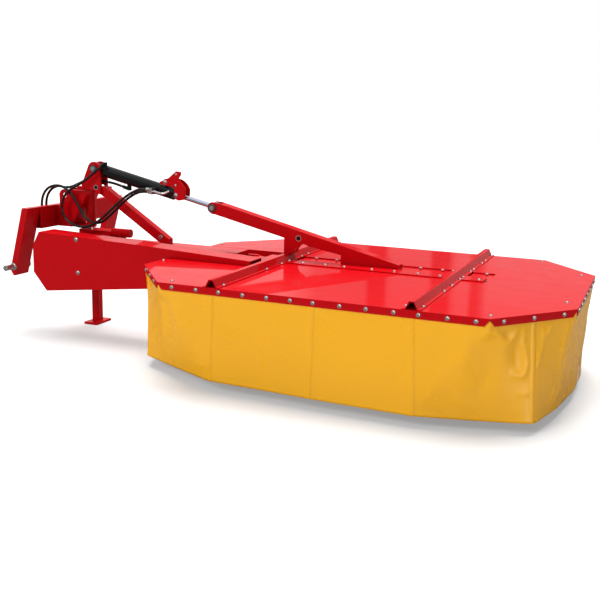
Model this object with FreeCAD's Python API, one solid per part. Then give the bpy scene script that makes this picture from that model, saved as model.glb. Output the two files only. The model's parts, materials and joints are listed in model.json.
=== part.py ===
"""Two-drum rotary mower for a rear three-point linkage, parked on its stand.

Every piece is one solid in millimetres. +X runs from the hitch head along the
boom to the mowing deck, +Y is forward at work, +Z is up from the ground. The
pieces are drawn about the middle of the deck and moved together at the end.
"""

import math
import os

import FreeCAD
import Part

V = FreeCAD.Vector

# Clearances
RUN = 0.05
SEAT = 0.3
SLIDE = 0.5
SIDE_GAP = 1.0

# Deck
DECK_TOP = 430.0
DECK_LENGTH = 1850.0
DECK_WIDTH = 1400.0
CORNER_X = 260.0
CORNER_Y = 320.0
DECK_SHEET = 4.0
DECK_FLANGE = 30.0
HALF_L = DECK_LENGTH / 2
HALF_W = DECK_WIDTH / 2
NOTCH_END = -462.0
NOTCH_REAR = -197.0
NOTCH_FRONT = 240.0
RIDGE_INNER = -425.0
RIDGE_OUTER = 382.0
RIDGE_HEIGHT = 32.0
RIDGE_HALF = 36.0

# Gear case and drums
DRUM_Y = 80.0
DRUM_PITCH = 825.0
DRUM_MID = -20.0
DRUM_X = (DRUM_MID - DRUM_PITCH / 2, DRUM_MID + DRUM_PITCH / 2)
CASE_START = -560.0
CASE_END = 520.0
CASE_HALF = 110.0
CASE_BOTTOM = 330.0
CASE_TOP = 424.0
CASE_LIP = 30.0
CASE_WALL = 10.0
CASE_FLOOR = 22.0
DRUM_TOP = 318.0
DRUM_NECK = 45.0
DRUM_TOP_R = 135.0
DRUM_BASE_R = 250.0
DRUM_WALL = 5.0
DISC_R = 340.0
DISC_BOTTOM = 62.0
DISC_THICK = 8.0
DISC_HUB_R = 60.0
KNIFE_REACH = 405.0
KNIFE_OVERLAP = 40.0
KNIFE_WIDTH = 46.0
KNIFE_THICK = 4.0
KNIVES = 3
SAUCER_R = 280.0
SAUCER_FLAT = 175.0
SAUCER_RISE = 42.0
SAUCER_SHEET = 6.0
SPINDLE_R = 25.0

# Skirts
SKIRT_SHEET = 4.0
SKIRT_BOTTOM = 45.0

# Boom
BOOM_Y = 85.0
BOOM_HALF = 65.0
BOOM_BOTTOM = 345.0
BOOM_TOP = 445.0
BOOM_START = -1460.0
BOOM_END = -668.0
BOOM_WALL = 8.0
FOLD_X = -620.0
FOLD_Z = 380.0
FOLD_PIN_R = 20.0
FORK_R = 45.0
FORK_PLATE = 14.0
LUG_R = 40.0
SWING_X = -1548.0
SWING_Y = 110.0
SWING_PIN_R = 16.0
SWING_TUBE_R = 25.0
NECK_LEFT = -1592.0
NECK_END = -1400.0
NECK_REAR = 62.0
NECK_FRONT = 148.0
NECK_BOTTOM = 435.0
NECK_TOP = 488.0
STUB_R = 21.5
STUB_END = -1294.0
STUB_Z = 482.0

# Mast, brace and lift cylinder
BASE_PLATE = 14.0
BASE_BOTTOM = 692.0
EAR_INNER = 22.0
EAR_PLATE = 12.0
EAR_R = 35.0
EAR_BOTTOM = 673.0
EAR_LEFT = -1560.0
EAR_RIGHT = -1448.0
EAR_STEP = -1479.0
EAR_HOLE_X = -1474.0
EAR_HOLE_Z = 706.0
EAR_HOLE_R = 12.5
CYL_X = -1486.0
CYL_Z = 798.0
CYL_PIN_R = 12.5
BRACE_HALF = 20.0
BRACE_DEPTH = 46.0
BRACE_TOP_X = -1451.0
BRACE_TOP_Z = 695.0
BRACE_SLOPE = 32.6
BRACE_TOE = 39.0
BARREL_R = 30.0
BARREL_BORE = 24.0
BARREL_LENGTH = 458.0
BARREL_START = 52.0
ROD_R = 12.5
ROD_STROKE_LENGTH = 430.0
PISTON = 35.0
GLAND = 34.0
EYE_R = 28.0
EYE_HALF = 19.0
FLOAT_X = 5.8
FLOAT_Z = -8.6
FLOAT_GAP = 1.6
PORT_X = -1423.0
PORT_Y = 60.0
PORT_TOP = 833.0
LOW_PORT_X = -1299.0
LOW_PORT_Z = 699.0
ELBOW_R = 11.0
PIPE_R = 6.0
HOSE_R = 6.5
FERRULE_R = 9.0
FERRULE_LENGTH = 24.0
LATCH_INNER = 18.0
LATCH_PLATE = 6.0
LATCH_PIVOT_X = -1080.0
LATCH_PIVOT_LIFT = 17.0
LATCH_PIVOT_R = 7.0
LATCH_SPACER_X = -1020.0
LATCH_SPACER_Z = 741.0

# Lift arm
ARM_X = -818.0
ARM_Z = 646.0
ARM_HALF = 30.0
ARM_R = 27.0
ROD_EYE_R = 28.0
ARM_PLATE = 8.0
ARM_SLOPE = 0.2405
ARM_DEPTH = 55.0
ARM_TAIL = 116.0
ARM_PAD_START = -160.0
POST_LEFT = -442.0
POST_RIGHT = -391.0

# Belt guard and input
GUARD_REAR = -190.0
GUARD_FRONT = -70.0
GUARD_SHEET = 3.0
GUARD_START = -1684.0
GUARD_END = -498.0
GUARD_NOSE_X = -1646.0
GUARD_NOSE_Z = 497.0
GUARD_SHOULDER_Z = 428.0
GUARD_CHIN_Z = 295.0
GUARD_LOW_X = -1609.0
GUARD_LOW_Z = 206.0
GUARD_STEP_X = -1040.0
GUARD_STEP_LOW = 271.0
GUARD_STEP_TOP = 477.0
GUARD_END_LOW = 335.0
GUARD_END_TOP = 452.0
HOLDER_X = -900.0
HOLDER_WIDTH = 50.0
GUARD_RIM = 15.0
INPUT_X = -1600.0
INPUT_Z = 340.0
INPUT_R = 17.4
JOURNAL_R = 22.0
INPUT_END = 140.0
HOUSING_R = 48.0
HOUSING_END = 40.0
PULLEY_R = 68.0

# Stand
STAND_X = -1505.0
STAND_HALF = 20.0
SLEEVE_WALL = 5.0
SLEEVE_BOTTOM = 200.0
LEG_TOP = 290.0
FOOT_LENGTH = 130.0
FOOT_WIDTH = 78.0
FOOT_PLATE = 12.0

# Hitch head
HEAD_X = -1716.0
HEAD_DEPTH = 36.0
COUPLER_R = 13.0
COUPLER_X = HEAD_X - HEAD_DEPTH - 30
COUPLER_TOP = 560.0
HEAD_TOP = 605.0
HEAD_BAR = 110.0
HEAD_REAR = -179.0
HITCH_SPREAD = 825.0
HEAD_LEG = 100.0
HEAD_WALL = 6.0
LEG_BOTTOM = 262.0
LEG_LEAN = 92.0
LINK_Z = 308.0
LINK_R = 14.0
LINK_LENGTH = 65.0
LINK_COLLAR = 8.0
TOWER_INNER = 47.0
TOWER_PLATE = 10.0
TOWER_BOTTOM = 496.0
TOWER_TOP = 686.0
TOWER_LOW_X = -1628.0
TOWER_HIGH_X = -1526.0
TOP_LINK_X = -1670.0
TOP_LINK_Z = 655.0
TOP_LINK_R = 12.85
TOWER_R = 31.0
TUBE_TOP = 689.0
LUG_PLATE = 12.0
WEB_PLATE = 8.0


def box(x0, x1, y0, y1, z0, z1):
    """Block between two corners."""
    return Part.makeBox(x1 - x0, y1 - y0, z1 - z0, V(x0, y0, z0))


def bar_y(x, z, radius, y0, y1):
    """Round bar along Y."""
    return Part.makeCylinder(radius, y1 - y0, V(x, y0, z), V(0, 1, 0))


def bar_x(x0, x1, y, z, radius):
    """Round bar along X."""
    return Part.makeCylinder(radius, x1 - x0, V(x0, y, z), V(1, 0, 0))


def bar_z(x, y, radius, z0, z1):
    """Round bar along Z."""
    return Part.makeCylinder(radius, z1 - z0, V(x, y, z0), V(0, 0, 1))


def face_xz(outline, y):
    """Flat face from an outline of (x, z) points."""
    points = [V(x, y, z) for x, z in outline]
    return Part.Face(Part.makePolygon(points + points[:1]))


def plate_xz(outline, y0, y1):
    """Plate standing along X, from y0 to y1."""
    return face_xz(outline, y0).extrude(V(0, y1 - y0, 0))


def box_xz(outline, y0, y1, wall):
    """Welded box section with the given outline in XZ, hollow inside."""
    core = face_xz(outline, y0 + wall).makeOffset2D(-wall, 2)
    hollow = core.extrude(V(0, y1 - y0 - 2 * wall, 0))
    return plate_xz(outline, y0, y1).cut(hollow)


def plate_xy(outline, z0, z1):
    """Flat plate lying level, from z0 to z1."""
    points = [V(x, y, z0) for x, y in outline]
    face = Part.Face(Part.makePolygon(points + points[:1]))
    return face.extrude(V(0, 0, z1 - z0))


def turned(profile, x, y):
    """Solid of revolution about the vertical line at x, y."""
    points = [V(x + r, y, z) for r, z in profile]
    face = Part.Face(Part.makePolygon(points + points[:1]))
    return face.revolve(V(x, y, 0), V(0, 0, 1), 360)


def fused(shapes):
    """One solid from touching shapes."""
    whole = shapes[0].fuse(shapes[1:])
    return whole.removeSplitter()


def sheet_solid(outer, inner):
    """Closed solid between two grids of points, rows from top to bottom."""
    faces = []

    def triangle(a, b, c):
        faces.append(Part.Face(Part.makePolygon([a, b, c, a])))

    def quad(a, b, c, d):
        triangle(a, b, c)
        triangle(a, c, d)

    rows = len(outer)
    cols = len(outer[0])
    for r in range(rows - 1):
        for c in range(cols - 1):
            for grid in (outer, inner):
                quad(grid[r][c], grid[r + 1][c], grid[r + 1][c + 1], grid[r][c + 1])
    for c in range(cols - 1):
        for r in (0, rows - 1):
            quad(outer[r][c], outer[r][c + 1], inner[r][c + 1], inner[r][c])
    for r in range(rows - 1):
        for c in (0, cols - 1):
            quad(outer[r][c], outer[r + 1][c], inner[r + 1][c], inner[r][c])
    solid = Part.makeSolid(Part.makeShell(faces))
    if solid.Volume < 0:
        solid.reverse()
    return solid


def deck_corners(inset):
    """Corner points of the deck in its first quadrant, moved inward by inset."""
    run = math.hypot(CORNER_X, CORNER_Y)
    nx = CORNER_Y / run
    ny = CORNER_X / run
    reach = nx * HALF_L + ny * (HALF_W - CORNER_Y) - inset
    end = (HALF_L - inset, (reach - nx * (HALF_L - inset)) / ny)
    side = ((reach - ny * (HALF_W - inset)) / nx, HALF_W - inset)
    return end, side


def deck_outline(inset):
    """Eight-sided deck outline, anticlockwise from the inner rear corner."""
    (ex, ey), (sx, sy) = deck_corners(inset)
    rear = [(-ex, -ey), (-sx, -sy), (sx, -sy), (ex, -ey)]
    return rear + [(-x, -y) for x, y in rear]


def deck_panel(side):
    """Rear (side -1) or front (side +1) deck panel, its edges turned down."""
    bottom = DECK_TOP - DECK_FLANGE
    slot = DRUM_Y + side * CASE_HALF
    notch = NOTCH_REAR if side < 0 else NOTCH_FRONT
    lip = notch + side * DECK_SHEET
    seam = DRUM_Y + side * SEAT
    far = side * (HALF_W + 10)
    low = bottom - 5
    high = DECK_TOP + 5
    end = NOTCH_END + DECK_SHEET
    inner = box(-HALF_L - 10, CASE_END, min(slot, far), max(slot, far), low, high)
    outer = box(CASE_END, HALF_L + 10, min(seam, far), max(seam, far), low, high)
    gap = box(-HALF_L - 10, NOTCH_END, min(notch, slot), max(notch, slot), low, high)
    rim = box(-HALF_L - 10, end, min(lip, slot), max(lip, slot), low, high)
    block = plate_xy(deck_outline(0), bottom, DECK_TOP).common(fused([inner, outer])).cut(gap)
    pocket = plate_xy(deck_outline(DECK_SHEET), low, DECK_TOP - DECK_SHEET).cut(rim)
    return block.cut(pocket)


def ridge(x):
    """Folded stiffening ridge across the deck."""
    h = RIDGE_HEIGHT
    t = DECK_SHEET
    half = RIDGE_HALF
    base = DECK_TOP
    outline = [
        (x - half, base),
        (x - half, base + t),
        (x - 24, base + t),
        (x - 10, base + h),
        (x + 10, base + h),
        (x + 24, base + t),
        (x + half, base + t),
        (x + half, base),
        (x + 21.5, base),
        (x + 7.5, base + h - t),
        (x - 7.5, base + h - t),
        (x - 21.5, base),
    ]
    return plate_xz(outline, -HALF_W + 2, HALF_W - 2)


def gear_case():
    """Gear case between the drums, with the fold lug at its inner end."""
    rear = DRUM_Y - CASE_HALF
    front = DRUM_Y + CASE_HALF
    block = box(CASE_START, CASE_END, rear, front, CASE_BOTTOM, CASE_TOP)
    lip_z = DECK_TOP - DECK_SHEET
    lip = box(
        NOTCH_END + 2 * DECK_SHEET, CASE_END - 20, rear - CASE_LIP, front + CASE_LIP, lip_z - 10, lip_z
    ).cut(box(CASE_START, CASE_END, rear, front, lip_z - 10, lip_z))
    lug_half = BOOM_HALF - FORK_PLATE - SIDE_GAP
    lug = bar_y(FOLD_X, FOLD_Z, LUG_R, BOOM_Y - lug_half, BOOM_Y + lug_half)
    root = box(FOLD_X, CASE_START, BOOM_Y - lug_half, BOOM_Y + lug_half, FOLD_Z - LUG_R, FOLD_Z + LUG_R)
    bosses = [bar_z(x, DRUM_Y, DRUM_NECK + 30, DRUM_TOP + 7, CASE_BOTTOM) for x in DRUM_X]
    case = fused([block, lip, lug, root] + bosses)
    hollow = box(
        CASE_START + CASE_WALL,
        CASE_END - CASE_WALL,
        rear + CASE_WALL,
        front - CASE_WALL,
        CASE_BOTTOM + CASE_FLOOR,
        CASE_TOP - CASE_WALL,
    )
    case = case.cut(hollow)
    for x in DRUM_X:
        case = case.cut(bar_z(x, DRUM_Y, DRUM_NECK + RUN, CASE_BOTTOM - 40, CASE_BOTTOM + CASE_FLOOR))
    return case.cut(bar_y(FOLD_X, FOLD_Z, FOLD_PIN_R + RUN, BOOM_Y - 80, BOOM_Y + 80))


def drum(index):
    """Hollow mowing drum with its knife disc and the neck that runs in the gear case."""
    wall = DRUM_WALL
    top = DRUM_TOP
    low = DISC_BOTTOM
    shell = [
        (0, low),
        (DISC_R, low),
        (DISC_R, low + DISC_THICK),
        (DRUM_BASE_R, low + DISC_THICK + 6),
        (DRUM_TOP_R, top - 12),
        (DRUM_TOP_R - 12, top),
        (DRUM_NECK + 12, top),
        (DRUM_NECK + 12, top + 5),
        (DRUM_NECK, top + 5),
        (DRUM_NECK, CASE_BOTTOM + CASE_FLOOR + 8),
        (0, CASE_BOTTOM + CASE_FLOOR + 8),
    ]
    hollow = [
        (DISC_HUB_R, low + DISC_THICK),
        (DRUM_BASE_R - wall, low + DISC_THICK),
        (DRUM_TOP_R - wall, top - 14),
        (DRUM_TOP_R - 14, top - wall),
        (DRUM_NECK, top - wall),
        (DRUM_NECK, low + 70),
        (DISC_HUB_R, low + 50),
    ]
    x = DRUM_X[index]
    body = turned(shell, x, DRUM_Y).cut(turned(hollow, x, DRUM_Y))
    return body.cut(bar_z(x, DRUM_Y, SPINDLE_R + RUN, low - 10, low + 45))


def knife(index, place):
    """Cutting knife under the rim of a disc."""
    x = DRUM_X[index]
    inner = DISC_R - KNIFE_OVERLAP
    blade = box(
        x + inner,
        x + KNIFE_REACH,
        DRUM_Y - KNIFE_WIDTH / 2,
        DRUM_Y + KNIFE_WIDTH / 2,
        DISC_BOTTOM - KNIFE_THICK,
        DISC_BOTTOM,
    )
    blade.rotate(V(x, DRUM_Y, 0), V(0, 0, 1), 90 + 360 * place / KNIVES + 60 * index)
    return blade


def saucer(index):
    """Domed sliding saucer with the spindle that turns in the drum."""
    t = SAUCER_SHEET
    profile = [
        (0, 0),
        (SAUCER_FLAT, 0),
        (SAUCER_FLAT + 60, SAUCER_RISE * 0.32),
        (SAUCER_R, SAUCER_RISE),
        (SAUCER_R - 3, SAUCER_RISE + t),
        (SAUCER_FLAT + 56, SAUCER_RISE * 0.32 + t + 1),
        (SAUCER_FLAT - 2, t),
        (SPINDLE_R + 15, t),
        (SPINDLE_R + 15, DISC_BOTTOM - 5),
        (SPINDLE_R, DISC_BOTTOM - 5),
        (SPINDLE_R, DISC_BOTTOM + 40),
        (0, DISC_BOTTOM + 40),
    ]
    return turned(profile, DRUM_X[index], DRUM_Y)


def skirt(side):
    """Rear (side -1) or front (side +1) cloth skirt under the deck edge."""
    inset = DECK_SHEET + SEAT
    (ex, ey), (sx, sy) = deck_corners(inset)
    notch = -NOTCH_REAR if side < 0 else NOTCH_FRONT
    start = notch + 2 * DECK_SHEET
    run = math.hypot(CORNER_X, CORNER_Y)
    cx = CORNER_Y / run
    cy = CORNER_X / run
    quarter = (ex * 0.72 + sx * 0.28, ey * 0.72 + sy * 0.28)
    middle = ((ex + sx) / 2, (ey + sy) / 2)
    stations = [
        ((-ex, start), (-ex - 3, start), (-1, 0)),
        ((-ex, ey), (-ex + 38, ey + 22), (-0.9, 0.43)),
        ((-quarter[0], quarter[1]), (-quarter[0] - 6, quarter[1] + 10), (-cx, cy)),
        ((-sx, sy), (-sx + 22, sy - 108), (-0.35, 0.93)),
        ((RIDGE_INNER, sy), (RIDGE_INNER - 14, sy - 10), (0, 1)),
        ((0, sy), (0, sy + 18), (0, 1)),
        ((RIDGE_OUTER, sy), (RIDGE_OUTER + 30, sy + 34), (0, 1)),
        ((sx, sy), (sx - 24, sy - 26), (0.35, 0.93)),
        (middle, (middle[0] + 37, middle[1] + 78), (cx, cy)),
        ((ex, ey), (ex - 40, ey + 22), (0.9, 0.43)),
        ((ex, 119), (ex + 22, 119), (1, 0)),
        ((ex, SEAT), (ex + 22, SEAT), (1, 0)),
    ]
    bottom = DECK_TOP - DECK_FLANGE - 4
    outer = [[], [], []]
    inner = [[], [], []]
    for (tx, ty), (bx, by), (nx, ny) in stations:
        rows = ((tx, ty, DECK_TOP - 8), (tx, ty, bottom), (bx, by, SKIRT_BOTTOM))
        for row, (x, y, z) in enumerate(rows):
            outer[row].append(V(x, side * y, z))
            inner[row].append(V(x - nx * SKIRT_SHEET, side * (y - ny * SKIRT_SHEET), z))
    return sheet_solid(outer, inner)


def boom_beam():
    """Boom: box tube, fork for the deck and brackets for the belt guard."""
    rear = BOOM_Y - BOOM_HALF
    front = BOOM_Y + BOOM_HALF
    tube = box(BOOM_START, BOOM_END, rear, front, BOOM_BOTTOM, BOOM_TOP)
    forks = []
    for y0 in (rear, front - FORK_PLATE):
        forks.append(bar_y(FOLD_X, FOLD_Z, FORK_R, y0, y0 + FORK_PLATE))
        forks.append(box(BOOM_END - 90, FOLD_X, y0, y0 + FORK_PLATE, FOLD_Z - FORK_R, FOLD_Z + FORK_R))
    holders = [
        box(BOOM_START, BOOM_START + 60, GUARD_FRONT, rear, BOOM_BOTTOM, BOOM_TOP - 10),
        box(HOLDER_X, HOLDER_X + HOLDER_WIDTH, GUARD_FRONT, rear, BOOM_BOTTOM + 15, BOOM_TOP - 15),
    ]
    whole = fused([tube] + forks + holders)
    w = BOOM_WALL
    core = box(BOOM_START + w, BOOM_END - w, rear + w, front - w, BOOM_BOTTOM + w, BOOM_TOP - w)
    whole = whole.cut(core)
    neck = box(NECK_LEFT, NECK_END, NECK_REAR, NECK_FRONT, NECK_BOTTOM, NECK_TOP)
    return whole.cut(neck).cut(bar_y(FOLD_X, FOLD_Z, FOLD_PIN_R, rear - 5, front + 5))


def boom_neck():
    """Raised neck at the inner end of the boom, the seat of the swing pin."""
    w = BOOM_WALL
    block = box(NECK_LEFT, NECK_END, NECK_REAR, NECK_FRONT, NECK_BOTTOM, NECK_TOP)
    core = box(SWING_X + 35, NECK_END + 1, NECK_REAR + w, NECK_FRONT - w, NECK_BOTTOM + w, NECK_TOP - w)
    return block.cut(core).cut(bar_z(SWING_X, SWING_Y, SWING_PIN_R + RUN, NECK_BOTTOM - 5, NECK_TOP + 5))


def stub_tube():
    """Round tube with a closed end that lies along the top of the boom."""
    tube = bar_x(NECK_END, STUB_END, BOOM_Y, STUB_Z, STUB_R)
    bore = bar_x(NECK_END - 1, STUB_END - 8, BOOM_Y, STUB_Z, STUB_R - 5)
    foot = box(NECK_END + 50, NECK_END + 62, BOOM_Y - 25, BOOM_Y + 25, BOOM_TOP, STUB_Z)
    return fused([tube, foot]).cut(bore)


def headed_pin_y(x, z, radius, y0, y1, head):
    """Pin along Y with a round head outside each end."""
    shank = bar_y(x, z, radius, y0, y1)
    heads = [bar_y(x, z, radius + head, y0 - 8, y0), bar_y(x, z, radius + head, y1, y1 + 8)]
    return fused([shank] + heads)


def fold_pin():
    """Pin on which the deck folds."""
    return headed_pin_y(FOLD_X, FOLD_Z, FOLD_PIN_R, BOOM_Y - BOOM_HALF, BOOM_Y + BOOM_HALF, 8)


def mast():
    """Mast head: base plate over the swing pin and two ears for the cylinder."""
    reach = EAR_INNER + EAR_PLATE
    base_top = BASE_BOTTOM + BASE_PLATE
    base = box(EAR_LEFT - 30, EAR_RIGHT, BOOM_Y - reach, SWING_Y + 42, BASE_BOTTOM, base_top)
    outline = [
        (EAR_LEFT, base_top - 4),
        (EAR_LEFT, base_top + 12),
        (CYL_X - EAR_R + 2, CYL_Z + 12),
        (CYL_X, CYL_Z + EAR_R - 1),
        (CYL_X + EAR_R - 2, CYL_Z + 12),
        (EAR_RIGHT, CYL_Z - 60),
        (EAR_RIGHT, EAR_BOTTOM),
        (EAR_STEP, EAR_BOTTOM),
        (EAR_STEP, base_top - 4),
    ]
    plates = [base]
    for side in (-1, 1):
        near = BOOM_Y + side * EAR_INNER
        far = near + side * EAR_PLATE
        plates.append(plate_xz(outline, min(near, far), max(near, far)))
        plates.append(bar_y(CYL_X, CYL_Z, EAR_R, min(near, far), max(near, far)))
    whole = fused(plates)
    whole = whole.cut(bar_y(CYL_X, CYL_Z, CYL_PIN_R, BOOM_Y - 60, BOOM_Y + 60))
    for near, far in ((BOOM_Y - reach, BOOM_Y - EAR_INNER), (BOOM_Y + EAR_INNER, BOOM_Y + reach)):
        whole = whole.cut(bar_y(EAR_HOLE_X, EAR_HOLE_Z, EAR_HOLE_R, near, far))
    slot = box(EAR_STEP, EAR_RIGHT + 1, BOOM_Y - EAR_INNER, BOOM_Y + EAR_INNER, BASE_BOTTOM - 1, base_top + 1)
    whole = whole.cut(slot)
    return whole.cut(bar_z(SWING_X, SWING_Y, SWING_PIN_R + RUN, BASE_BOTTOM - 5, base_top + 5))


def mast_pin():
    """Pin that holds the cylinder between the mast ears."""
    reach = EAR_INNER + EAR_PLATE
    return headed_pin_y(CYL_X, CYL_Z, CYL_PIN_R, BOOM_Y - reach, BOOM_Y + reach, 7)


def mast_brace():
    """Slanting strut from the mast down to the boom."""
    angle = math.radians(BRACE_SLOPE)
    dx = math.cos(angle)
    dz = -math.sin(angle)
    half = BRACE_DEPTH / 2
    up = (BRACE_TOP_X - dz * half, BRACE_TOP_Z + dx * half)
    low = (BRACE_TOP_X + dz * half, BRACE_TOP_Z - dx * half)
    foot = (low[0] + (low[1] - BOOM_TOP) / -dz * dx, BOOM_TOP)
    toe = foot[0] + BRACE_TOE
    lift = up[1] + (toe - up[0]) / dx * dz
    outline = [up, low, foot, (toe, BOOM_TOP), (toe, lift)]
    strut = box_xz(outline, BOOM_Y - BRACE_HALF, BOOM_Y + BRACE_HALF, 5)
    reach = EAR_INNER
    root = bar_y(BRACE_TOP_X + 2, BRACE_TOP_Z, 14, BOOM_Y - reach, BOOM_Y + reach)
    return fused([strut, root])


def belt_guard():
    """Closed sheet guard over the belt drive, open at the deck end."""
    outline = [
        (GUARD_NOSE_X, GUARD_NOSE_Z),
        (GUARD_START, GUARD_SHOULDER_Z),
        (GUARD_START, GUARD_CHIN_Z),
        (GUARD_LOW_X, GUARD_LOW_Z),
        (GUARD_STEP_X, GUARD_STEP_LOW),
        (GUARD_END, GUARD_END_LOW),
        (GUARD_END, GUARD_END_TOP),
        (GUARD_STEP_X, GUARD_STEP_TOP),
    ]
    shell = plate_xz(outline, GUARD_REAR, GUARD_FRONT)
    core = face_xz(outline, GUARD_REAR + GUARD_SHEET).makeOffset2D(-GUARD_SHEET, 2)
    depth = GUARD_FRONT - GUARD_REAR - 2 * GUARD_SHEET
    shell = shell.cut(core.extrude(V(0, depth, 0)))
    rear = GUARD_REAR + GUARD_SHEET
    front = GUARD_FRONT - GUARD_SHEET
    low = GUARD_END_LOW + 2 * GUARD_SHEET
    top = GUARD_END_TOP - GUARD_SHEET - 1
    mouth = box(GUARD_END - GUARD_RIM, GUARD_END + 10, rear, front, low, top)
    shell = shell.cut(mouth)
    return shell.cut(bar_y(INPUT_X, INPUT_Z, JOURNAL_R + 8, front - 2, GUARD_FRONT + 2))


def input_housing():
    """Bearing housing of the input shaft with its arm to the boom."""
    barrel = bar_y(INPUT_X, INPUT_Z, HOUSING_R, GUARD_FRONT, HOUSING_END)
    arm = box(INPUT_X, BOOM_START, GUARD_FRONT + 10, GUARD_FRONT + 60, INPUT_Z, INPUT_Z + 45)
    return fused([barrel, arm]).cut(bar_y(INPUT_X, INPUT_Z, JOURNAL_R + RUN, GUARD_FRONT - 5, HOUSING_END + 5))


def input_shaft():
    """Input shaft with its pulley inside the guard."""
    journal = bar_y(INPUT_X, INPUT_Z, JOURNAL_R, GUARD_REAR + 20, HOUSING_END)
    stub = bar_y(INPUT_X, INPUT_Z, INPUT_R, HOUSING_END, INPUT_END)
    pulley = bar_y(INPUT_X, INPUT_Z, PULLEY_R, GUARD_REAR + 25, GUARD_FRONT - 25)
    return fused([journal, stub, pulley])


def stand_sleeve():
    """Square sleeve in which the stand leg slides."""
    inner = STAND_HALF + SLIDE
    s = inner + SLEEVE_WALL
    outer = box(STAND_X - s, STAND_X + s, BOOM_Y - s, BOOM_Y + s, SLEEVE_BOTTOM, NECK_BOTTOM)
    bore = box(STAND_X - inner, STAND_X + inner, BOOM_Y - inner, BOOM_Y + inner, SLEEVE_BOTTOM, NECK_BOTTOM)
    return outer.cut(bore)


def stand_leg():
    """Parking stand: square leg on a foot plate."""
    h = STAND_HALF
    leg = box(STAND_X - h, STAND_X + h, BOOM_Y - h, BOOM_Y + h, FOOT_PLATE, LEG_TOP)
    bore = box(STAND_X - h + 5, STAND_X + h - 5, BOOM_Y - h + 5, BOOM_Y + h - 5, FOOT_PLATE, LEG_TOP)
    foot = box(
        STAND_X - FOOT_WIDTH / 2,
        STAND_X + FOOT_WIDTH / 2,
        BOOM_Y - FOOT_LENGTH / 2,
        BOOM_Y + FOOT_LENGTH / 2,
        0,
        FOOT_PLATE,
    )
    return fused([leg.cut(bore), foot])


def leg_outline():
    """Outline of a leaning hitch leg in XZ."""
    left = HEAD_X - HEAD_DEPTH
    return [
        (left, HEAD_TOP),
        (HEAD_X, HEAD_TOP),
        (HEAD_X - LEG_LEAN, LEG_BOTTOM),
        (left - LEG_LEAN + 24, LEG_BOTTOM),
        (left - LEG_LEAN * 0.92, LEG_BOTTOM + 28),
    ]


def link_x():
    """X of the lower link pins, on the middle of the leaning legs."""
    share = (HEAD_TOP - LINK_Z) / (HEAD_TOP - LEG_BOTTOM)
    return HEAD_X - HEAD_DEPTH / 2 - share * LEG_LEAN


def head_leg(side):
    """Rear (side -1) or front (side +1) leg of the hitch head."""
    y0 = HEAD_REAR if side < 0 else HEAD_REAR + HITCH_SPREAD - HEAD_LEG
    y1 = y0 + HEAD_LEG
    leg = box_xz(leg_outline(), y0, y1, HEAD_WALL)
    mouth = box(HEAD_X - LEG_LEAN - 12, HEAD_X - LEG_LEAN - 4, y0 + 10, y1 - 10, LEG_BOTTOM - 1, LEG_BOTTOM + 10)
    leg = leg.cut(mouth)
    return leg.cut(bar_y(link_x(), LINK_Z, LINK_R, y0 - 5, y1 + 5))


def head_bar():
    """Crossbar between the two legs."""
    y0 = HEAD_REAR + HEAD_LEG
    y1 = HEAD_REAR + HITCH_SPREAD - HEAD_LEG
    w = HEAD_WALL
    left = HEAD_X - HEAD_DEPTH
    low = HEAD_TOP - HEAD_BAR
    block = box(left, HEAD_X, y0, y1, low, HEAD_TOP)
    return block.cut(box(left + w, HEAD_X - w, y0, y1, low + w, HEAD_TOP - w))


def head_tower():
    """Tower of the hitch head: two gussets, slanting web and swing tube."""
    side = [
        (HEAD_X, TOWER_BOTTOM),
        (TOWER_LOW_X, TOWER_BOTTOM),
        (TOWER_HIGH_X, TOWER_TOP),
        (TOP_LINK_X, TOWER_TOP),
        (TOP_LINK_X - TOWER_R + 1, TOP_LINK_Z),
        (TOP_LINK_X - TOWER_R + 1, HEAD_TOP),
        (HEAD_X, HEAD_TOP),
    ]
    web = [
        (TOWER_LOW_X, TOWER_BOTTOM),
        (TOWER_HIGH_X, TOWER_TOP),
        (TOWER_HIGH_X - WEB_PLATE - 2, TOWER_TOP),
        (TOWER_LOW_X - WEB_PLATE - 2, TOWER_BOTTOM),
    ]
    inner = TOWER_INNER
    tower = []
    for sign in (-1, 1):
        near = SWING_Y + sign * inner
        far = near + sign * TOWER_PLATE
        tower.append(plate_xz(side, min(near, far), max(near, far)))
        tower.append(bar_y(TOP_LINK_X, TOP_LINK_Z, TOWER_R, min(near, far), max(near, far)))
    tower.append(plate_xz(web, SWING_Y - inner, SWING_Y + inner))
    tower.append(bar_z(SWING_X, SWING_Y, SWING_TUBE_R, TOWER_BOTTOM, TUBE_TOP))
    tower.append(box(HEAD_X, SWING_X, SWING_Y - inner, SWING_Y + inner, TOWER_BOTTOM, TOWER_BOTTOM + LUG_PLATE))
    whole = fused(tower)
    whole = whole.cut(bar_z(SWING_X, SWING_Y, SWING_PIN_R + RUN, TOWER_BOTTOM - 5, TUBE_TOP + 5))
    return whole.cut(bar_y(TOP_LINK_X, TOP_LINK_Z, TOP_LINK_R, SWING_Y - 80, SWING_Y + 80))


def swing_pin():
    """Upright pin on which the hitch head swings."""
    return bar_z(SWING_X, SWING_Y, SWING_PIN_R, NECK_BOTTOM, BASE_BOTTOM + BASE_PLATE)


def link_pin(side):
    """Lower link pin at the rear (side -1) or front (side +1) leg."""
    outer = HEAD_REAR if side < 0 else HEAD_REAR + HITCH_SPREAD
    inner = outer - side * HEAD_LEG
    tip = outer + side * LINK_LENGTH
    x = link_x()
    shank = bar_y(x, LINK_Z, LINK_R, min(tip, inner), max(tip, inner))
    back = inner - side * 8
    head = bar_y(x, LINK_Z, LINK_R + 5, min(back, inner), max(back, inner))
    collar_end = outer + side * LINK_COLLAR
    collar = bar_y(x, LINK_Z, LINK_R + 5, min(outer, collar_end), max(outer, collar_end))
    return fused([shank, head, collar])


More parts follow.
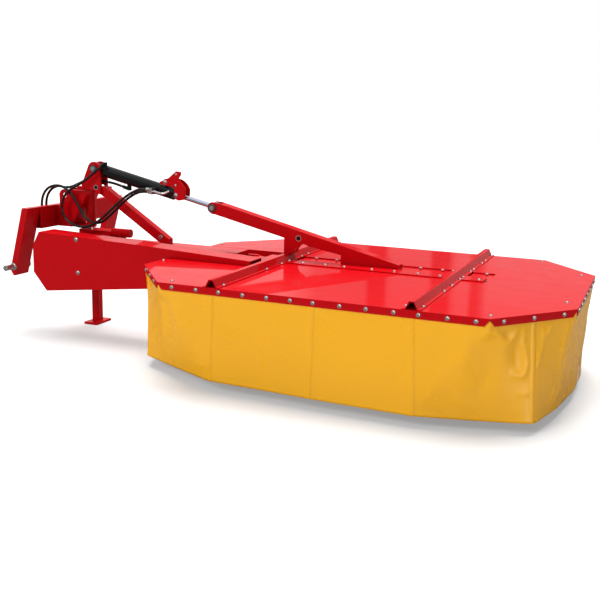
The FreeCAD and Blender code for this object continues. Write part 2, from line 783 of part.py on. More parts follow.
def lift_angle():
    """Slope of the lift cylinder below level, degrees."""
    return math.degrees(math.atan2(CYL_Z - ARM_Z, ARM_X - CYL_X))


def lift_span():
    """Distance between the two eyes of the lift cylinder."""
    return math.hypot(ARM_X - CYL_X, CYL_Z - ARM_Z)


def along_lift(x0, x1, radius):
    """Round bar on the cylinder axis, measured from the mast pin."""
    bar = Part.makeCylinder(radius, x1 - x0, V(CYL_X + x0, BOOM_Y, CYL_Z), V(1, 0, 0))
    bar.rotate(V(CYL_X, BOOM_Y, CYL_Z), V(0, 1, 0), lift_angle())
    return bar


def barrel_top(x):
    """Height of the barrel's top line at x."""
    slope = math.radians(lift_angle())
    return CYL_Z - (x - CYL_X) * math.tan(slope) + BARREL_R / math.cos(slope)


def lift_barrel():
    """Barrel of the lift cylinder with its eye and the lug of the latch."""
    eye = bar_y(CYL_X, CYL_Z, EYE_R, BOOM_Y - EYE_HALF, BOOM_Y + EYE_HALF)
    tube = along_lift(BARREL_START, BARREL_LENGTH, BARREL_R)
    root = along_lift(0, BARREL_START + 2, EYE_HALF - 2)
    pivot_z = latch_pivot_z()
    half = LATCH_PIVOT_R + 7
    lug = box(
        LATCH_PIVOT_X - half, LATCH_PIVOT_X + half, BOOM_Y - 10, BOOM_Y + 10, pivot_z - 34, pivot_z + half
    )
    port = bar_z(PORT_X, PORT_Y, ELBOW_R, PORT_TOP - 42, PORT_TOP)
    low_port = bar_z(LOW_PORT_X, BOOM_Y, ELBOW_R, LOW_PORT_Z, LOW_PORT_Z + 30)
    ends = [ferrule(LIFT_HOSE[0], LIFT_HOSE[1]), ferrule(BARREL_SUPPLY_HOSE[-1], BARREL_SUPPLY_HOSE[-2])]
    whole = fused([tube, root, eye, lug, port, low_port] + ends)
    whole = whole.cut(along_lift(BARREL_START + 14, BARREL_LENGTH - GLAND, BARREL_BORE))
    whole = whole.cut(along_lift(BARREL_LENGTH - GLAND - 1, BARREL_LENGTH + 1, ROD_R + RUN))
    whole = whole.cut(bar_y(LATCH_PIVOT_X, pivot_z, LATCH_PIVOT_R, BOOM_Y - 60, BOOM_Y + 60))
    return whole.cut(bar_y(CYL_X, CYL_Z, CYL_PIN_R + RUN, BOOM_Y - 60, BOOM_Y + 60))


def float_slot():
    """Short slot in the rod's eye, in which the arm's pin floats as the deck moves."""
    reach = 60
    radius = CYL_PIN_R + FLOAT_GAP
    length = math.hypot(FLOAT_X, FLOAT_Z)
    nx = -FLOAT_Z / length * radius
    nz = FLOAT_X / length * radius
    start_x = ARM_X - FLOAT_X * 0.15
    start_z = ARM_Z - FLOAT_Z * 0.15
    end_x = ARM_X + FLOAT_X
    end_z = ARM_Z + FLOAT_Z
    sides = [
        (start_x + nx, start_z + nz),
        (end_x + nx, end_z + nz),
        (end_x - nx, end_z - nz),
        (start_x - nx, start_z - nz),
    ]
    y0 = BOOM_Y - reach
    y1 = BOOM_Y + reach
    ends = [bar_y(start_x, start_z, radius, y0, y1), bar_y(end_x, end_z, radius, y0, y1)]
    return fused(ends + [plate_xz(sides, y0, y1)])


def lift_rod():
    """Rod of the lift cylinder with its piston and eye."""
    span = lift_span()
    front = span - ROD_STROKE_LENGTH
    shaft = along_lift(front, span - ROD_EYE_R + 8, ROD_R)
    piston = along_lift(front - PISTON, front, BARREL_BORE - RUN)
    width = ARM_HALF - ARM_PLATE - 2
    middle_x = ARM_X + FLOAT_X / 2
    middle_z = ARM_Z + FLOAT_Z / 2
    eye = bar_y(middle_x, middle_z, ROD_EYE_R, BOOM_Y - width, BOOM_Y + width)
    return fused([shaft, piston, eye]).cut(float_slot())


def latch_pivot_z():
    """Height of the latch's pivot over the barrel."""
    return barrel_top(LATCH_PIVOT_X) + LATCH_PIVOT_LIFT


def transport_latch():
    """Latch that straddles the rod beyond the barrel: two plates, pivot and spacer."""
    hook = [
        (-994, 327),
        (-978, 312),
        (-967, 292),
        (-968, 266),
        (-978, 243),
        (-1004, 238),
        (-1025, 244),
        (-1030, 271),
        (-1030, 299),
        (-1082, 308),
        (-1110, 315),
    ]
    handle = [(-1111, 323), (-1062, 344), (-1020, 379), (-992, 376), (-994, 362), (-1011, 338)]
    plain = [(-1111, 323), (-1070, 341), (-1040, 343), (-1011, 337)]
    near = [(x, DECK_TOP + z) for x, z in handle + hook]
    far = [(x, DECK_TOP + z) for x, z in plain + hook]
    outside = LATCH_INNER + LATCH_PLATE
    y0 = BOOM_Y - outside
    y1 = BOOM_Y + outside
    reach = outside + 6
    pivot = bar_y(LATCH_PIVOT_X, latch_pivot_z(), LATCH_PIVOT_R, BOOM_Y - reach, BOOM_Y + reach)
    spacer = bar_y(LATCH_SPACER_X, LATCH_SPACER_Z, LATCH_PIVOT_R, y0, y1)
    plates = [plate_xz(near, y0, y0 + LATCH_PLATE), plate_xz(far, y1 - LATCH_PLATE, y1)]
    return fused(plates + [pivot, spacer])


def arm_pin():
    """Pin that joins the cylinder rod to the lift arm."""
    return headed_pin_y(ARM_X, ARM_Z, CYL_PIN_R, BOOM_Y - ARM_HALF, BOOM_Y + ARM_HALF, 7)


def lift_arm():
    """Welded arm that carries the deck from the cylinder."""
    top_x = ARM_X + 25
    top_z = ARM_Z + 25
    drop = ARM_SLOPE

    def top_edge(x):
        return top_z - drop * (x - top_x)

    def low_edge(x):
        return top_edge(x) - ARM_DEPTH

    seat = DECK_TOP + RIDGE_HEIGHT
    outline = [
        (ARM_X - 6, ARM_Z + ARM_R - 1),
        (top_x, top_z),
        (ARM_TAIL, top_edge(ARM_TAIL)),
        (ARM_TAIL, CASE_TOP),
        (ARM_PAD_START, CASE_TOP),
        (ARM_PAD_START, low_edge(ARM_PAD_START) + 10),
        (POST_RIGHT + 75, low_edge(POST_RIGHT + 75)),
        (POST_RIGHT + 40, low_edge(POST_RIGHT + 40) + 3),
        (POST_RIGHT + 10, seat + 30),
        (POST_RIGHT, seat + 12),
        (POST_RIGHT, seat),
        (POST_LEFT, seat),
        (POST_LEFT, low_edge(POST_LEFT)),
        (ARM_X - 6, ARM_Z - ARM_R + 1),
    ]
    body = box_xz(outline, BOOM_Y - ARM_HALF, BOOM_Y + ARM_HALF, ARM_PLATE)
    nose = bar_y(ARM_X, ARM_Z, ARM_R, BOOM_Y - ARM_HALF, BOOM_Y + ARM_HALF)
    whole = fused([body, nose])
    inner = ARM_HALF - ARM_PLATE
    mouth = box(ARM_X - 60, ARM_X + EYE_R + 12, BOOM_Y - inner, BOOM_Y + inner, ARM_Z - 60, ARM_Z + 60)
    whole = whole.cut(mouth)
    return whole.cut(bar_y(ARM_X, ARM_Z, CYL_PIN_R, BOOM_Y - 60, BOOM_Y + 60))


LIFT_HOSE = [
    (-1436, 44, 811),
    (-1467, 30, 783),
    (-1510, 25, 747),
    (-1556, 20, 717),
    (-1602, 17, 694),
    (-1640, 17, 662),
    (-1660, 17, 620),
    (-1660, 17, 574),
    (-1637, 17, 537),
    (-1594, 17, 513),
    (-1545, 17, 504),
    (-1492, 17, 513),
    (-1438, 17, 542),
    (-1384, 17, 586),
    (-1328, 17, 636),
    (-1272, 17, 680),
    (-1220, 17, 708),
    (-1188, 17, 717),
    (-1158, 17, 717),
]
ROD_SUPPLY_HOSE = [
    (COUPLER_X, 12, COUPLER_TOP),
    (COUPLER_X, 12, 604),
    (COUPLER_X + 7, 14, 650),
    (-1750, 19, 689),
    (-1706, 26, 708),
    (-1658, 32, 702),
    (-1616, 32, 673),
    (-1582, 32, 628),
    (-1553, 32, 581),
    (-1519, 32, 544),
    (-1474, 32, 526),
    (-1427, 32, 536),
    (-1380, 32, 572),
    (-1328, 32, 621),
    (-1273, 32, 667),
    (-1222, 32, 696),
    (-1188, 32, 704),
    (-1158, 32, 704),
]
BARREL_SUPPLY_HOSE = [
    (COUPLER_X, 48, COUPLER_TOP),
    (COUPLER_X, 48, 604),
    (COUPLER_X + 9, 48, 649),
    (-1745, 48, 685),
    (-1702, 47, 703),
    (-1661, 46, 697),
    (-1622, 47, 700),
    (-1588, 57, 717),
    (-1556, 71, 735),
    (-1522, 81, 744),
    (-1484, 84, 741),
    (-1446, 85, 734),
    (-1405, 85, 732),
    (-1366, 85, 724),
    (-1334, 85, 715),
]
CYLINDER_PIPE = [
    (-1122, 24, 709),
    (-1098, 25, 702),
    (-1072, 32, 699),
    (-1055, 54, 711),
]


def rounded_route(points, name):
    """Wire of straight runs joined by tangent arcs, as large as the runs allow."""
    spots = [V(*point) for point in points]
    edges = []
    radii = []
    start = spots[0]
    for before, corner, after in zip(spots, spots[1:], spots[2:]):
        way_in = (corner - before).normalize()
        way_out = (after - corner).normalize()
        half = way_in.getAngle(way_out) / 2
        tangent = 0.45 * min((corner - before).Length, (after - corner).Length)
        radius = tangent / math.tan(half)
        radii.append(radius)
        first = corner - way_in * tangent
        last = corner + way_out * tangent
        inward = (way_out - way_in).normalize()
        centre = corner + inward * (radius / math.cos(half))
        middle = centre - inward * radius
        edges.append(Part.LineSegment(start, first).toShape())
        edges.append(Part.Arc(first, middle, last).toShape())
        start = last
    edges.append(Part.LineSegment(start, spots[-1]).toShape())
    print(name, "smallest radius", round(min(radii), 1))
    return Part.Wire(edges)


def tube(points, radius, name):
    """Round tube along a rounded route."""
    route = rounded_route(points, name)
    way = V(*points[1]) - V(*points[0])
    ring = Part.Wire(Part.makeCircle(radius, V(*points[0]), way))
    solid = route.makePipeShell([ring], True, False)
    ratio = solid.Volume / (math.pi * radius**2 * route.Length)
    print(name, "length", round(route.Length, 1), "volume ratio", round(ratio, 5))
    return solid


def ferrule(end, before):
    """Crimped end fitting that carries a hose's line on past its end."""
    way = (V(*end) - V(*before)).normalize()
    return Part.makeCylinder(FERRULE_R, FERRULE_LENGTH, V(*end), way)


def cylinder_pipe():
    """Hose fittings of the rod end, their tee and its pipe to the barrel."""
    pipe = tube(CYLINDER_PIPE, PIPE_R, "cylinder_pipe")
    pipe = pipe.cut(along_lift(BARREL_START, BARREL_LENGTH + 20, BARREL_R + SEAT))
    tee_end = CYLINDER_PIPE[0][0]
    low = ROD_SUPPLY_HOSE[-1][2] - FERRULE_R
    high = LIFT_HOSE[-1][2] + FERRULE_R
    rear = LIFT_HOSE[-1][1] - FERRULE_R
    front = ROD_SUPPLY_HOSE[-1][1] + FERRULE_R
    tee = box(LIFT_HOSE[-1][0] + FERRULE_LENGTH - 4, tee_end, rear, front, low, high)
    ends = [ferrule(hose[-1], hose[-2]) for hose in (LIFT_HOSE, ROD_SUPPLY_HOSE)]
    return fused([tee, pipe] + ends)


def coupler_rack():
    """Bracket on the back of the crossbar with the two parked hose couplers."""
    back = HEAD_X - HEAD_DEPTH
    rear = ROD_SUPPLY_HOSE[0][1] - 20
    front = BARREL_SUPPLY_HOSE[0][1] + 20
    plate = box(back - 6, back, rear, front, COUPLER_TOP - 60, COUPLER_TOP - 20)
    shelf = box(COUPLER_X - 18, back, rear, front, COUPLER_TOP - 46, COUPLER_TOP - 40)
    couplers = [
        bar_z(COUPLER_X, hose[0][1], COUPLER_R, COUPLER_TOP - 70, COUPLER_TOP)
        for hose in (ROD_SUPPLY_HOSE, BARREL_SUPPLY_HOSE)
    ]
    return fused([plate, shelf] + couplers)


def pieces():
    """All pieces by name, about the middle of the deck."""
    parts = {
        "boom_beam": boom_beam(),
        "boom_neck": boom_neck(),
        "stub_tube": stub_tube(),
        "mast": mast(),
        "mast_brace": mast_brace(),
        "mast_pin": mast_pin(),
        "fold_pin": fold_pin(),
        "belt_guard": belt_guard(),
        "input_housing": input_housing(),
        "input_shaft": input_shaft(),
        "stand_sleeve": stand_sleeve(),
        "stand_leg": stand_leg(),
        "head_bar": head_bar(),
        "rear_leg": head_leg(-1),
        "front_leg": head_leg(1),
        "head_tower": head_tower(),
        "swing_pin": swing_pin(),
        "rear_link_pin": link_pin(-1),
        "front_link_pin": link_pin(1),
        "lift_barrel": lift_barrel(),
        "lift_rod": lift_rod(),
        "transport_latch": transport_latch(),
        "cylinder_pipe": cylinder_pipe(),
        "coupler_rack": coupler_rack(),
        "lift_hose": tube(LIFT_HOSE, HOSE_R, "lift_hose"),
        "rod_supply_hose": tube(ROD_SUPPLY_HOSE, HOSE_R, "rod_supply_hose"),
        "barrel_supply_hose": tube(BARREL_SUPPLY_HOSE, HOSE_R, "barrel_supply_hose"),
        "lift_arm": lift_arm(),
        "arm_pin": arm_pin(),
        "gear_case": gear_case(),
        "rear_deck_panel": deck_panel(-1),
        "front_deck_panel": deck_panel(1),
        "inner_ridge": ridge(RIDGE_INNER),
        "outer_ridge": ridge(RIDGE_OUTER),
        "rear_skirt": skirt(-1),
        "front_skirt": skirt(1),
        "inner_drum": drum(0),
        "outer_drum": drum(1),
        "inner_saucer": saucer(0),
        "outer_saucer": saucer(1),
    }
    for place in range(KNIVES):
        parts["inner_knife_%d" % (place + 1)] = knife(0, place)
        parts["outer_knife_%d" % (place + 1)] = knife(1, place)
    return parts


def middle(parts):
    """Middle of the whole object in X and Y."""
    bounds = FreeCAD.BoundBox()
    for shape in parts.values():
        bounds.add(shape.BoundBox)
    return V((bounds.XMin + bounds.XMax) / 2, (bounds.YMin + bounds.YMax) / 2, 0)


def main():
    """Write one STEP file for every piece."""
    os.makedirs("parts", exist_ok=True)
    parts = pieces()
    shift = middle(parts) * -1
    for name, shape in parts.items():
        shape.translate(shift)
        shape.exportStep("parts/%s.step" % name)


if __name__ == "__main__":
    main()
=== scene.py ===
"""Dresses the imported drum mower: paint, cloth skirts, fasteners, hoses and studio."""

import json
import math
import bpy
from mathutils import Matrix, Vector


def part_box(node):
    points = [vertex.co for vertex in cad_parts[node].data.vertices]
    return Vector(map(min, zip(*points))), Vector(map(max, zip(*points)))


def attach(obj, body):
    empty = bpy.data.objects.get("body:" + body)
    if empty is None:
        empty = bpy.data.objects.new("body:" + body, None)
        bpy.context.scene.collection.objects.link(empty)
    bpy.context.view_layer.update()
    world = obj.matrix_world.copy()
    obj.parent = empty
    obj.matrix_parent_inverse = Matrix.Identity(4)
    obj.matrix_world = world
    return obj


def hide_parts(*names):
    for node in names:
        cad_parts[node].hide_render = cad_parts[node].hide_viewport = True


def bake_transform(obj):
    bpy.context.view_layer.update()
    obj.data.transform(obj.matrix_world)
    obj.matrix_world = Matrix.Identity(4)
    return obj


bl_info = {
    "name": "Drum Mower",
    "version": (1, 0, 0),
    "blender": (4, 5, 0),
    "location": "View3D > Sidebar > Drum Mower",
    "description": "Finishes the two-drum mower piece by piece on its packed frame",
    "category": "Object",
}

import bmesh
import bpy
from mathutils import Matrix, Vector, noise

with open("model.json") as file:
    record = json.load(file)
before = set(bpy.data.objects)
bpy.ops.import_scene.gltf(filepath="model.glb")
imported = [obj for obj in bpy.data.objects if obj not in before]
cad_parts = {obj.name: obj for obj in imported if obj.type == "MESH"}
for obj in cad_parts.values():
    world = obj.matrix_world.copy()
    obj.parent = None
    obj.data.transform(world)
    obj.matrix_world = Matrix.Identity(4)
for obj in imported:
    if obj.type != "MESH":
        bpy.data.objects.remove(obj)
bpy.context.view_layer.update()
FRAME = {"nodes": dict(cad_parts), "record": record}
NODES = FRAME["nodes"]
NODE_BODY = {
    node: body
    for body, nodes in FRAME["record"]["behaviour"]["bodies"].items()
    for node in nodes
}


def middle_of(*nodes):
    """Middle of the boxes of these nodes together."""
    lows = [Vector(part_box(node)[0]) for node in nodes]
    highs = [Vector(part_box(node)[1]) for node in nodes]
    return sum(lows + highs, Vector()) / (len(lows) + len(highs))


# Fasteners, cloth and hoses are set out from the deck's middle, which the drums' places give.
DRUM_MIDDLE = middle_of("inner_drum", "outer_drum")
DRUM_MID_X = -0.020
DRUM_MID_Y = 0.080
DECK_X = DRUM_MIDDLE.x - DRUM_MID_X
DECK_Y = DRUM_MIDDLE.y - DRUM_MID_Y
DECK_TOP = 0.430
HALF_LENGTH = 0.925
HALF_WIDTH = 0.700
CORNER_X = 0.260
CORNER_Y = 0.320
DECK_SHEET = 0.004
SEAM_INNER = -0.425
SEAM_OUTER = 0.382

REAR = (0, -1, 0)
FRONT = (0, 1, 0)
UP = (0, 0, 1)


def at(x, y, z):
    """Point in the model from a point about the deck's middle, in metres."""
    return Vector((x + DECK_X, y + DECK_Y, z))


# -------- objects and meshes


def linked(name, data):
    """New object with this data, linked to the scene."""
    thing = bpy.data.objects.new(name, data)
    bpy.context.scene.collection.objects.link(thing)
    return thing


def settled(thing):
    """Mesh of an object as its modifiers leave it."""
    bpy.context.view_layer.update()
    return bpy.data.meshes.new_from_object(thing.evaluated_get(bpy.context.evaluated_depsgraph_get()))


def mesh_from(built, name):
    """Mesh of a finished bmesh, which is then freed."""
    mesh = bpy.data.meshes.new(name)
    built.to_mesh(mesh)
    built.free()
    return mesh


# -------- shader groups


def new_group(name, inputs, outputs):
    """Shader node group with named sockets; inputs give (name, type, default)."""
    group = bpy.data.node_groups.new(name, "ShaderNodeTree")
    for label, kind, default in inputs:
        socket = group.interface.new_socket(label, in_out="INPUT", socket_type=kind)
        socket.default_value = default
    for label, kind in outputs:
        group.interface.new_socket(label, in_out="OUTPUT", socket_type=kind)
    tree = group.nodes
    return group, tree.new("NodeGroupInput"), tree.new("NodeGroupOutput")


def worked(tree, operation, *values):
    """Result of a math node on these sockets and numbers."""
    node = tree.nodes.new("ShaderNodeMath")
    node.operation = operation
    for socket, value in zip(node.inputs, values):
        if isinstance(value, float):
            socket.default_value = value
        else:
            tree.links.new(value, socket)
    return node.outputs[0]


def soft_noise(group, coords, scale):
    """Noise texture on the given coordinates."""
    tex = group.nodes.new("ShaderNodeTexNoise")
    tex.inputs["Detail"].default_value = 2.0
    group.links.new(coords, tex.inputs["Vector"])
    if isinstance(scale, float):
        tex.inputs["Scale"].default_value = scale
    else:
        group.links.new(scale, tex.inputs["Scale"])
    return tex


def ranged(tree, value, start, end, low=0.0, high=1.0):
    """Map range node that takes start to end onto low to high."""
    node = tree.nodes.new("ShaderNodeMapRange")
    limits = {"From Min": start, "From Max": end, "To Min": low, "To Max": high}
    for label, limit in limits.items():
        node.inputs[label].default_value = limit
    tree.links.new(value, node.inputs["Value"])
    return node


def spread(group, value, low, high):
    """Maps the middle of a noise's range onto low to high."""
    return ranged(group, value, 0.3, 0.7, low, high).outputs["Result"]


# Patches to a metre in a finish's tone and in its roughness
BROAD_PATCHES = 2.3
SMALL_PATCHES = 9.0


def surface_group():
    """Sprayed or rolled surface: faint tone drift, roughness drift and ripple."""
    group, source, sink = new_group(
        "surface_drift",
        [
            ("Color", "NodeSocketColor", (0.5, 0.5, 0.5, 1.0)),
            ("Tone", "NodeSocketFloat", 0.06),
            ("Ripple Scale", "NodeSocketFloat", 60.0),
            ("Ripple Height", "NodeSocketFloat", 0.02),
            ("Roughness", "NodeSocketFloat", 0.3),
        ],
        [("Color", "NodeSocketColor"), ("Roughness", "NodeSocketFloat"), ("Height", "NodeSocketFloat")],
    )
    link = group.links.new
    coords = group.nodes.new("ShaderNodeTexCoord").outputs["Object"]
    broad = soft_noise(group, coords, BROAD_PATCHES)
    drift = spread(group, broad.outputs["Fac"], -0.5, 0.5)
    tint = group.nodes.new("ShaderNodeHueSaturation")
    link(source.outputs["Color"], tint.inputs["Color"])
    link(worked(group, "MULTIPLY_ADD", drift, source.outputs["Tone"], 1.0), tint.inputs["Value"])
    link(tint.outputs["Color"], sink.inputs["Color"])
    patchy = soft_noise(group, coords, SMALL_PATCHES)
    swing = spread(group, patchy.outputs["Fac"], 0.85, 1.15)
    link(worked(group, "MULTIPLY", source.outputs["Roughness"], swing), sink.inputs["Roughness"])
    ripple = soft_noise(group, coords, source.outputs["Ripple Scale"])
    height = worked(group, "MULTIPLY", ripple.outputs["Fac"], source.outputs["Ripple Height"])
    link(height, sink.inputs["Height"])
    return group


def weave_group():
    """Fine square weave under a coated cloth, read from the cloth's own map."""
    group, source, sink = new_group(
        "coated_weave",
        [("Threads", "NodeSocketFloat", 420.0), ("Height", "NodeSocketFloat", 0.02)],
        [("Height", "NodeSocketFloat")],
    )
    link = group.links.new
    coords = group.nodes.new("ShaderNodeTexCoord").outputs["UV"]
    parts = group.nodes.new("ShaderNodeSeparateXYZ")
    link(coords, parts.inputs[0])
    waves = [
        worked(group, "SINE", worked(group, "MULTIPLY", parts.outputs[axis], source.outputs["Threads"]))
        for axis in ("X", "Y")
    ]
    height = worked(group, "MULTIPLY", worked(group, "MULTIPLY", *waves), source.outputs["Height"])
    link(height, sink.inputs["Height"])
    return group


def finish_material(
    name, color, rough, metallic=0.0, coat=0.0, specular=0.5, coat_ior=1.5,
    tone=0.05, ripple=(60.0, 0.02), distance=0.0004,
):
    """Principled material whose colour, roughness and bump drift a little."""
    found = bpy.data.materials.get(name)
    if found:
        return found
    material = bpy.data.materials.new(name)
    material.use_nodes = True
    nodes = material.node_tree.nodes
    link = material.node_tree.links.new
    shader = nodes["Principled BSDF"]
    shader.inputs["Metallic"].default_value = metallic
    shader.inputs["Coat Weight"].default_value = coat
    shader.inputs["Coat Roughness"].default_value = 0.02
    shader.inputs["Coat IOR"].default_value = coat_ior
    shader.inputs["Specular IOR Level"].default_value = specular
    drift = nodes.new("ShaderNodeGroup")
    drift.node_tree = bpy.data.node_groups.get("surface_drift") or surface_group()
    drift.inputs["Color"].default_value = (*color, 1.0)
    drift.inputs["Tone"].default_value = tone
    drift.inputs["Ripple Scale"].default_value = ripple[0]
    drift.inputs["Ripple Height"].default_value = ripple[1]
    drift.inputs["Roughness"].default_value = rough
    bump = nodes.new("ShaderNodeBump")
    bump.inputs["Distance"].default_value = distance
    link(drift.outputs["Color"], shader.inputs["Base Color"])
    link(drift.outputs["Roughness"], shader.inputs["Roughness"])
    link(drift.outputs["Height"], bump.inputs["Height"])
    link(bump.outputs["Normal"], shader.inputs["Normal"])
    return material


def cloth_material(color):
    """Coated cloth: the drifting surface with a fine weave added to its height."""
    material = finish_material(
        "skirt_cloth", color, 0.3, specular=0.45, tone=0.05, ripple=(35.0, 0.5), distance=0.0006,
    )
    nodes = material.node_tree.nodes
    link = material.node_tree.links.new
    bump = next(node for node in nodes if node.type == "BUMP")
    drift = next(node for node in nodes if node.type == "GROUP")
    weave = nodes.new("ShaderNodeGroup")
    weave.node_tree = bpy.data.node_groups.get("coated_weave") or weave_group()
    weave.inputs["Threads"].default_value = 1800.0
    weave.inputs["Height"].default_value = 0.12
    total = worked(material.node_tree, "ADD", drift.outputs["Height"], weave.outputs["Height"])
    link(total, bump.inputs["Height"])
    return material


PIN_GREY = (0.16, 0.15, 0.15)
# Chrome's grey with a painted blue reflection of the sky mixed into its colour
CHROME_WITH_PAINTED_SKY = (0.62, 0.65, 0.80)
STEEL_GREY = (0.36, 0.35, 0.34)


def paints():
    """All finishes by name, most of them from the sidebar's colours."""
    looks = bpy.context.scene.mower_looks
    return {
        "red": finish_material(
            "red_gloss_paint", looks.red, 0.42,
            coat=0.55, coat_ior=1.2, specular=0.03, tone=0.04, ripple=(28.0, 0.25),
        ),
        "black": finish_material(
            "black_gloss_paint", looks.black, 0.22,
            coat=0.3, coat_ior=1.3, specular=0.2, ripple=(40.0, 0.4),
        ),
        "zinc": finish_material("zinc_fastener", looks.zinc, 0.3, metallic=1.0, tone=0.12),
        "pin": finish_material("dull_pin", PIN_GREY, 0.45, metallic=1.0, tone=0.15),
        "chrome": finish_material("chrome_rod", CHROME_WITH_PAINTED_SKY, 0.12, metallic=1.0, tone=0.02),
        "steel": finish_material("bare_steel", STEEL_GREY, 0.42, metallic=1.0, tone=0.25),
        "rubber": finish_material("hose_rubber", looks.rubber, 0.24, tone=0.1),
        "cloth": bpy.data.materials.get("skirt_cloth") or cloth_material(looks.yellow),
    }


# -------- mesh helpers


def shown(name, mesh, material, body, smooth=40.0):
    """Links a mesh as a finished piece of a body."""
    piece = linked(name, mesh)
    mesh.materials.clear()
    mesh.materials.append(material)
    mesh.polygons.foreach_set("use_smooth", [True] * len(mesh.polygons))
    mesh.polygons.foreach_set("material_index", [0] * len(mesh.polygons))
    mesh.set_sharp_from_angle(angle=math.radians(smooth))
    if body:
        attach(piece, body)
    return piece


# Widths of eased edges
SHEET_EDGE = 0.0012
PANEL_EDGE = 0.0015
PLATE_EDGE = 0.002
FINE_EDGE = 0.001
KNIFE_EDGE = 0.0006

FLAT_ANGLE = math.radians(0.4)
SHARP_ANGLE = math.radians(28)


def dressed(node, paint, width):
    """Copy of a CAD node with merged corners, eased edges and a finish."""
    built = bmesh.new()
    built.from_mesh(NODES[node].data)
    bmesh.ops.remove_doubles(built, verts=built.verts, dist=1e-6)
    bmesh.ops.dissolve_limit(
        built, angle_limit=FLAT_ANGLE, verts=built.verts, edges=built.edges, delimit={"NORMAL"}
    )
    sharp = [
        edge
        for edge in built.edges
        if len(edge.link_faces) == 2 and edge.calc_face_angle(0.0) > SHARP_ANGLE
    ]
    bmesh.ops.bevel(
        built, geom=sharp, offset=width, offset_type="OFFSET",
        segments=2, profile=0.5, affect="EDGES", clamp_overlap=True,
    )
    bmesh.ops.triangulate(built, faces=[face for face in built.faces if len(face.verts) > 4])
    name = f"{node}_painted"
    piece = shown(name, mesh_from(built, name), paint, NODE_BODY[node], smooth=50.0)
    even = piece.modifiers.new("even_normals", "WEIGHTED_NORMAL")
    even.keep_sharp = True
    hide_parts(node)
    return piece


def painted(nodes, paint, width=SHEET_EDGE):
    """Dresses several CAD nodes alike."""
    return [dressed(node, paint, width) for node in nodes]


# -------- bolt trees


def bolt_tree(name, sides, dome):
    """Geometry tree that sets a bolt head on every point, along its facing."""
    tree = bpy.data.node_groups.new(name, "GeometryNodeTree")
    face = tree.interface
    face.new_socket("Geometry", in_out="INPUT", socket_type="NodeSocketGeometry")
    sizes = {"Head Radius": 0.009, "Head Height": 0.005, "Washer Radius": 0.011, "Washer Height": 0.0015}
    for label, value in sizes.items():
        socket = face.new_socket(label, in_out="INPUT", socket_type="NodeSocketFloat")
        socket.default_value = value
    finish = face.new_socket("Finish", in_out="INPUT", socket_type="NodeSocketMaterial")
    finish.description = "Finish of the heads"
    face.new_socket("Geometry", in_out="OUTPUT", socket_type="NodeSocketGeometry")
    nodes = tree.nodes
    link = tree.links.new
    source = nodes.new("NodeGroupInput")
    sink = nodes.new("NodeGroupOutput")

    def half(socket):
        return worked(tree, "MULTIPLY", socket, 0.5)

    def lifted(mesh, height, scale=None):
        offset = nodes.new("ShaderNodeCombineXYZ")
        link(height, offset.inputs["Z"])
        move = nodes.new("GeometryNodeTransform")
        link(mesh, move.inputs["Geometry"])
        link(offset.outputs[0], move.inputs["Translation"])
        if scale is not None:
            link(scale, move.inputs["Scale"])
        return move.outputs["Geometry"]

    def disc(count, radius, depth):
        node = nodes.new("GeometryNodeMeshCylinder")
        node.inputs["Vertices"].default_value = count
        link(radius, node.inputs["Radius"])
        link(depth, node.inputs["Depth"])
        return node.outputs["Mesh"]

    washer = disc(20, source.outputs["Washer Radius"], source.outputs["Washer Height"])
    washer = lifted(washer, half(source.outputs["Washer Height"]))
    if dome:
        ball = nodes.new("GeometryNodeMeshUVSphere")
        ball.inputs["Segments"].default_value = 16
        ball.inputs["Rings"].default_value = 8
        ball.inputs["Radius"].default_value = 1.0
        size = nodes.new("ShaderNodeCombineXYZ")
        for axis, label in (("X", "Head Radius"), ("Y", "Head Radius"), ("Z", "Head Height")):
            link(source.outputs[label], size.inputs[axis])
        head = lifted(ball.outputs["Mesh"], half(source.outputs["Washer Height"]), size.outputs[0])
    else:
        head = disc(sides, source.outputs["Head Radius"], source.outputs["Head Height"])
        head = lifted(head, half(source.outputs["Head Height"]))
    join = nodes.new("GeometryNodeJoinGeometry")
    link(washer, join.inputs[0])
    link(head, join.inputs[0])
    facing = nodes.new("GeometryNodeInputNamedAttribute")
    facing.data_type = "FLOAT_VECTOR"
    facing.inputs["Name"].default_value = "facing"
    turn = nodes.new("FunctionNodeAlignRotationToVector")
    turn.axis = "Z"
    link(facing.outputs["Attribute"], turn.inputs["Vector"])
    place = nodes.new("GeometryNodeInstanceOnPoints")
    link(source.outputs["Geometry"], place.inputs["Points"])
    link(join.outputs[0], place.inputs["Instance"])
    link(turn.outputs[0], place.inputs["Rotation"])
    real = nodes.new("GeometryNodeRealizeInstances")
    link(place.outputs[0], real.inputs[0])
    colour = nodes.new("GeometryNodeSetMaterial")
    link(real.outputs[0], colour.inputs["Geometry"])
    link(source.outputs["Finish"], colour.inputs["Material"])
    link(colour.outputs[0], sink.inputs[0])
    return tree


def near_face(node):
    """Middle of a node's face on the rear side."""
    low, high = (Vector(corner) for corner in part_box(node))
    middle = (low + high) / 2
    return Vector((middle.x, low.y, middle.z))


def socket_id(tree, label):
    """Identifier of a tree's input by its name."""
    for item in tree.interface.items_tree:
        if item.name == label and item.in_out == "INPUT":
            return item.identifier
    raise ValueError(label)


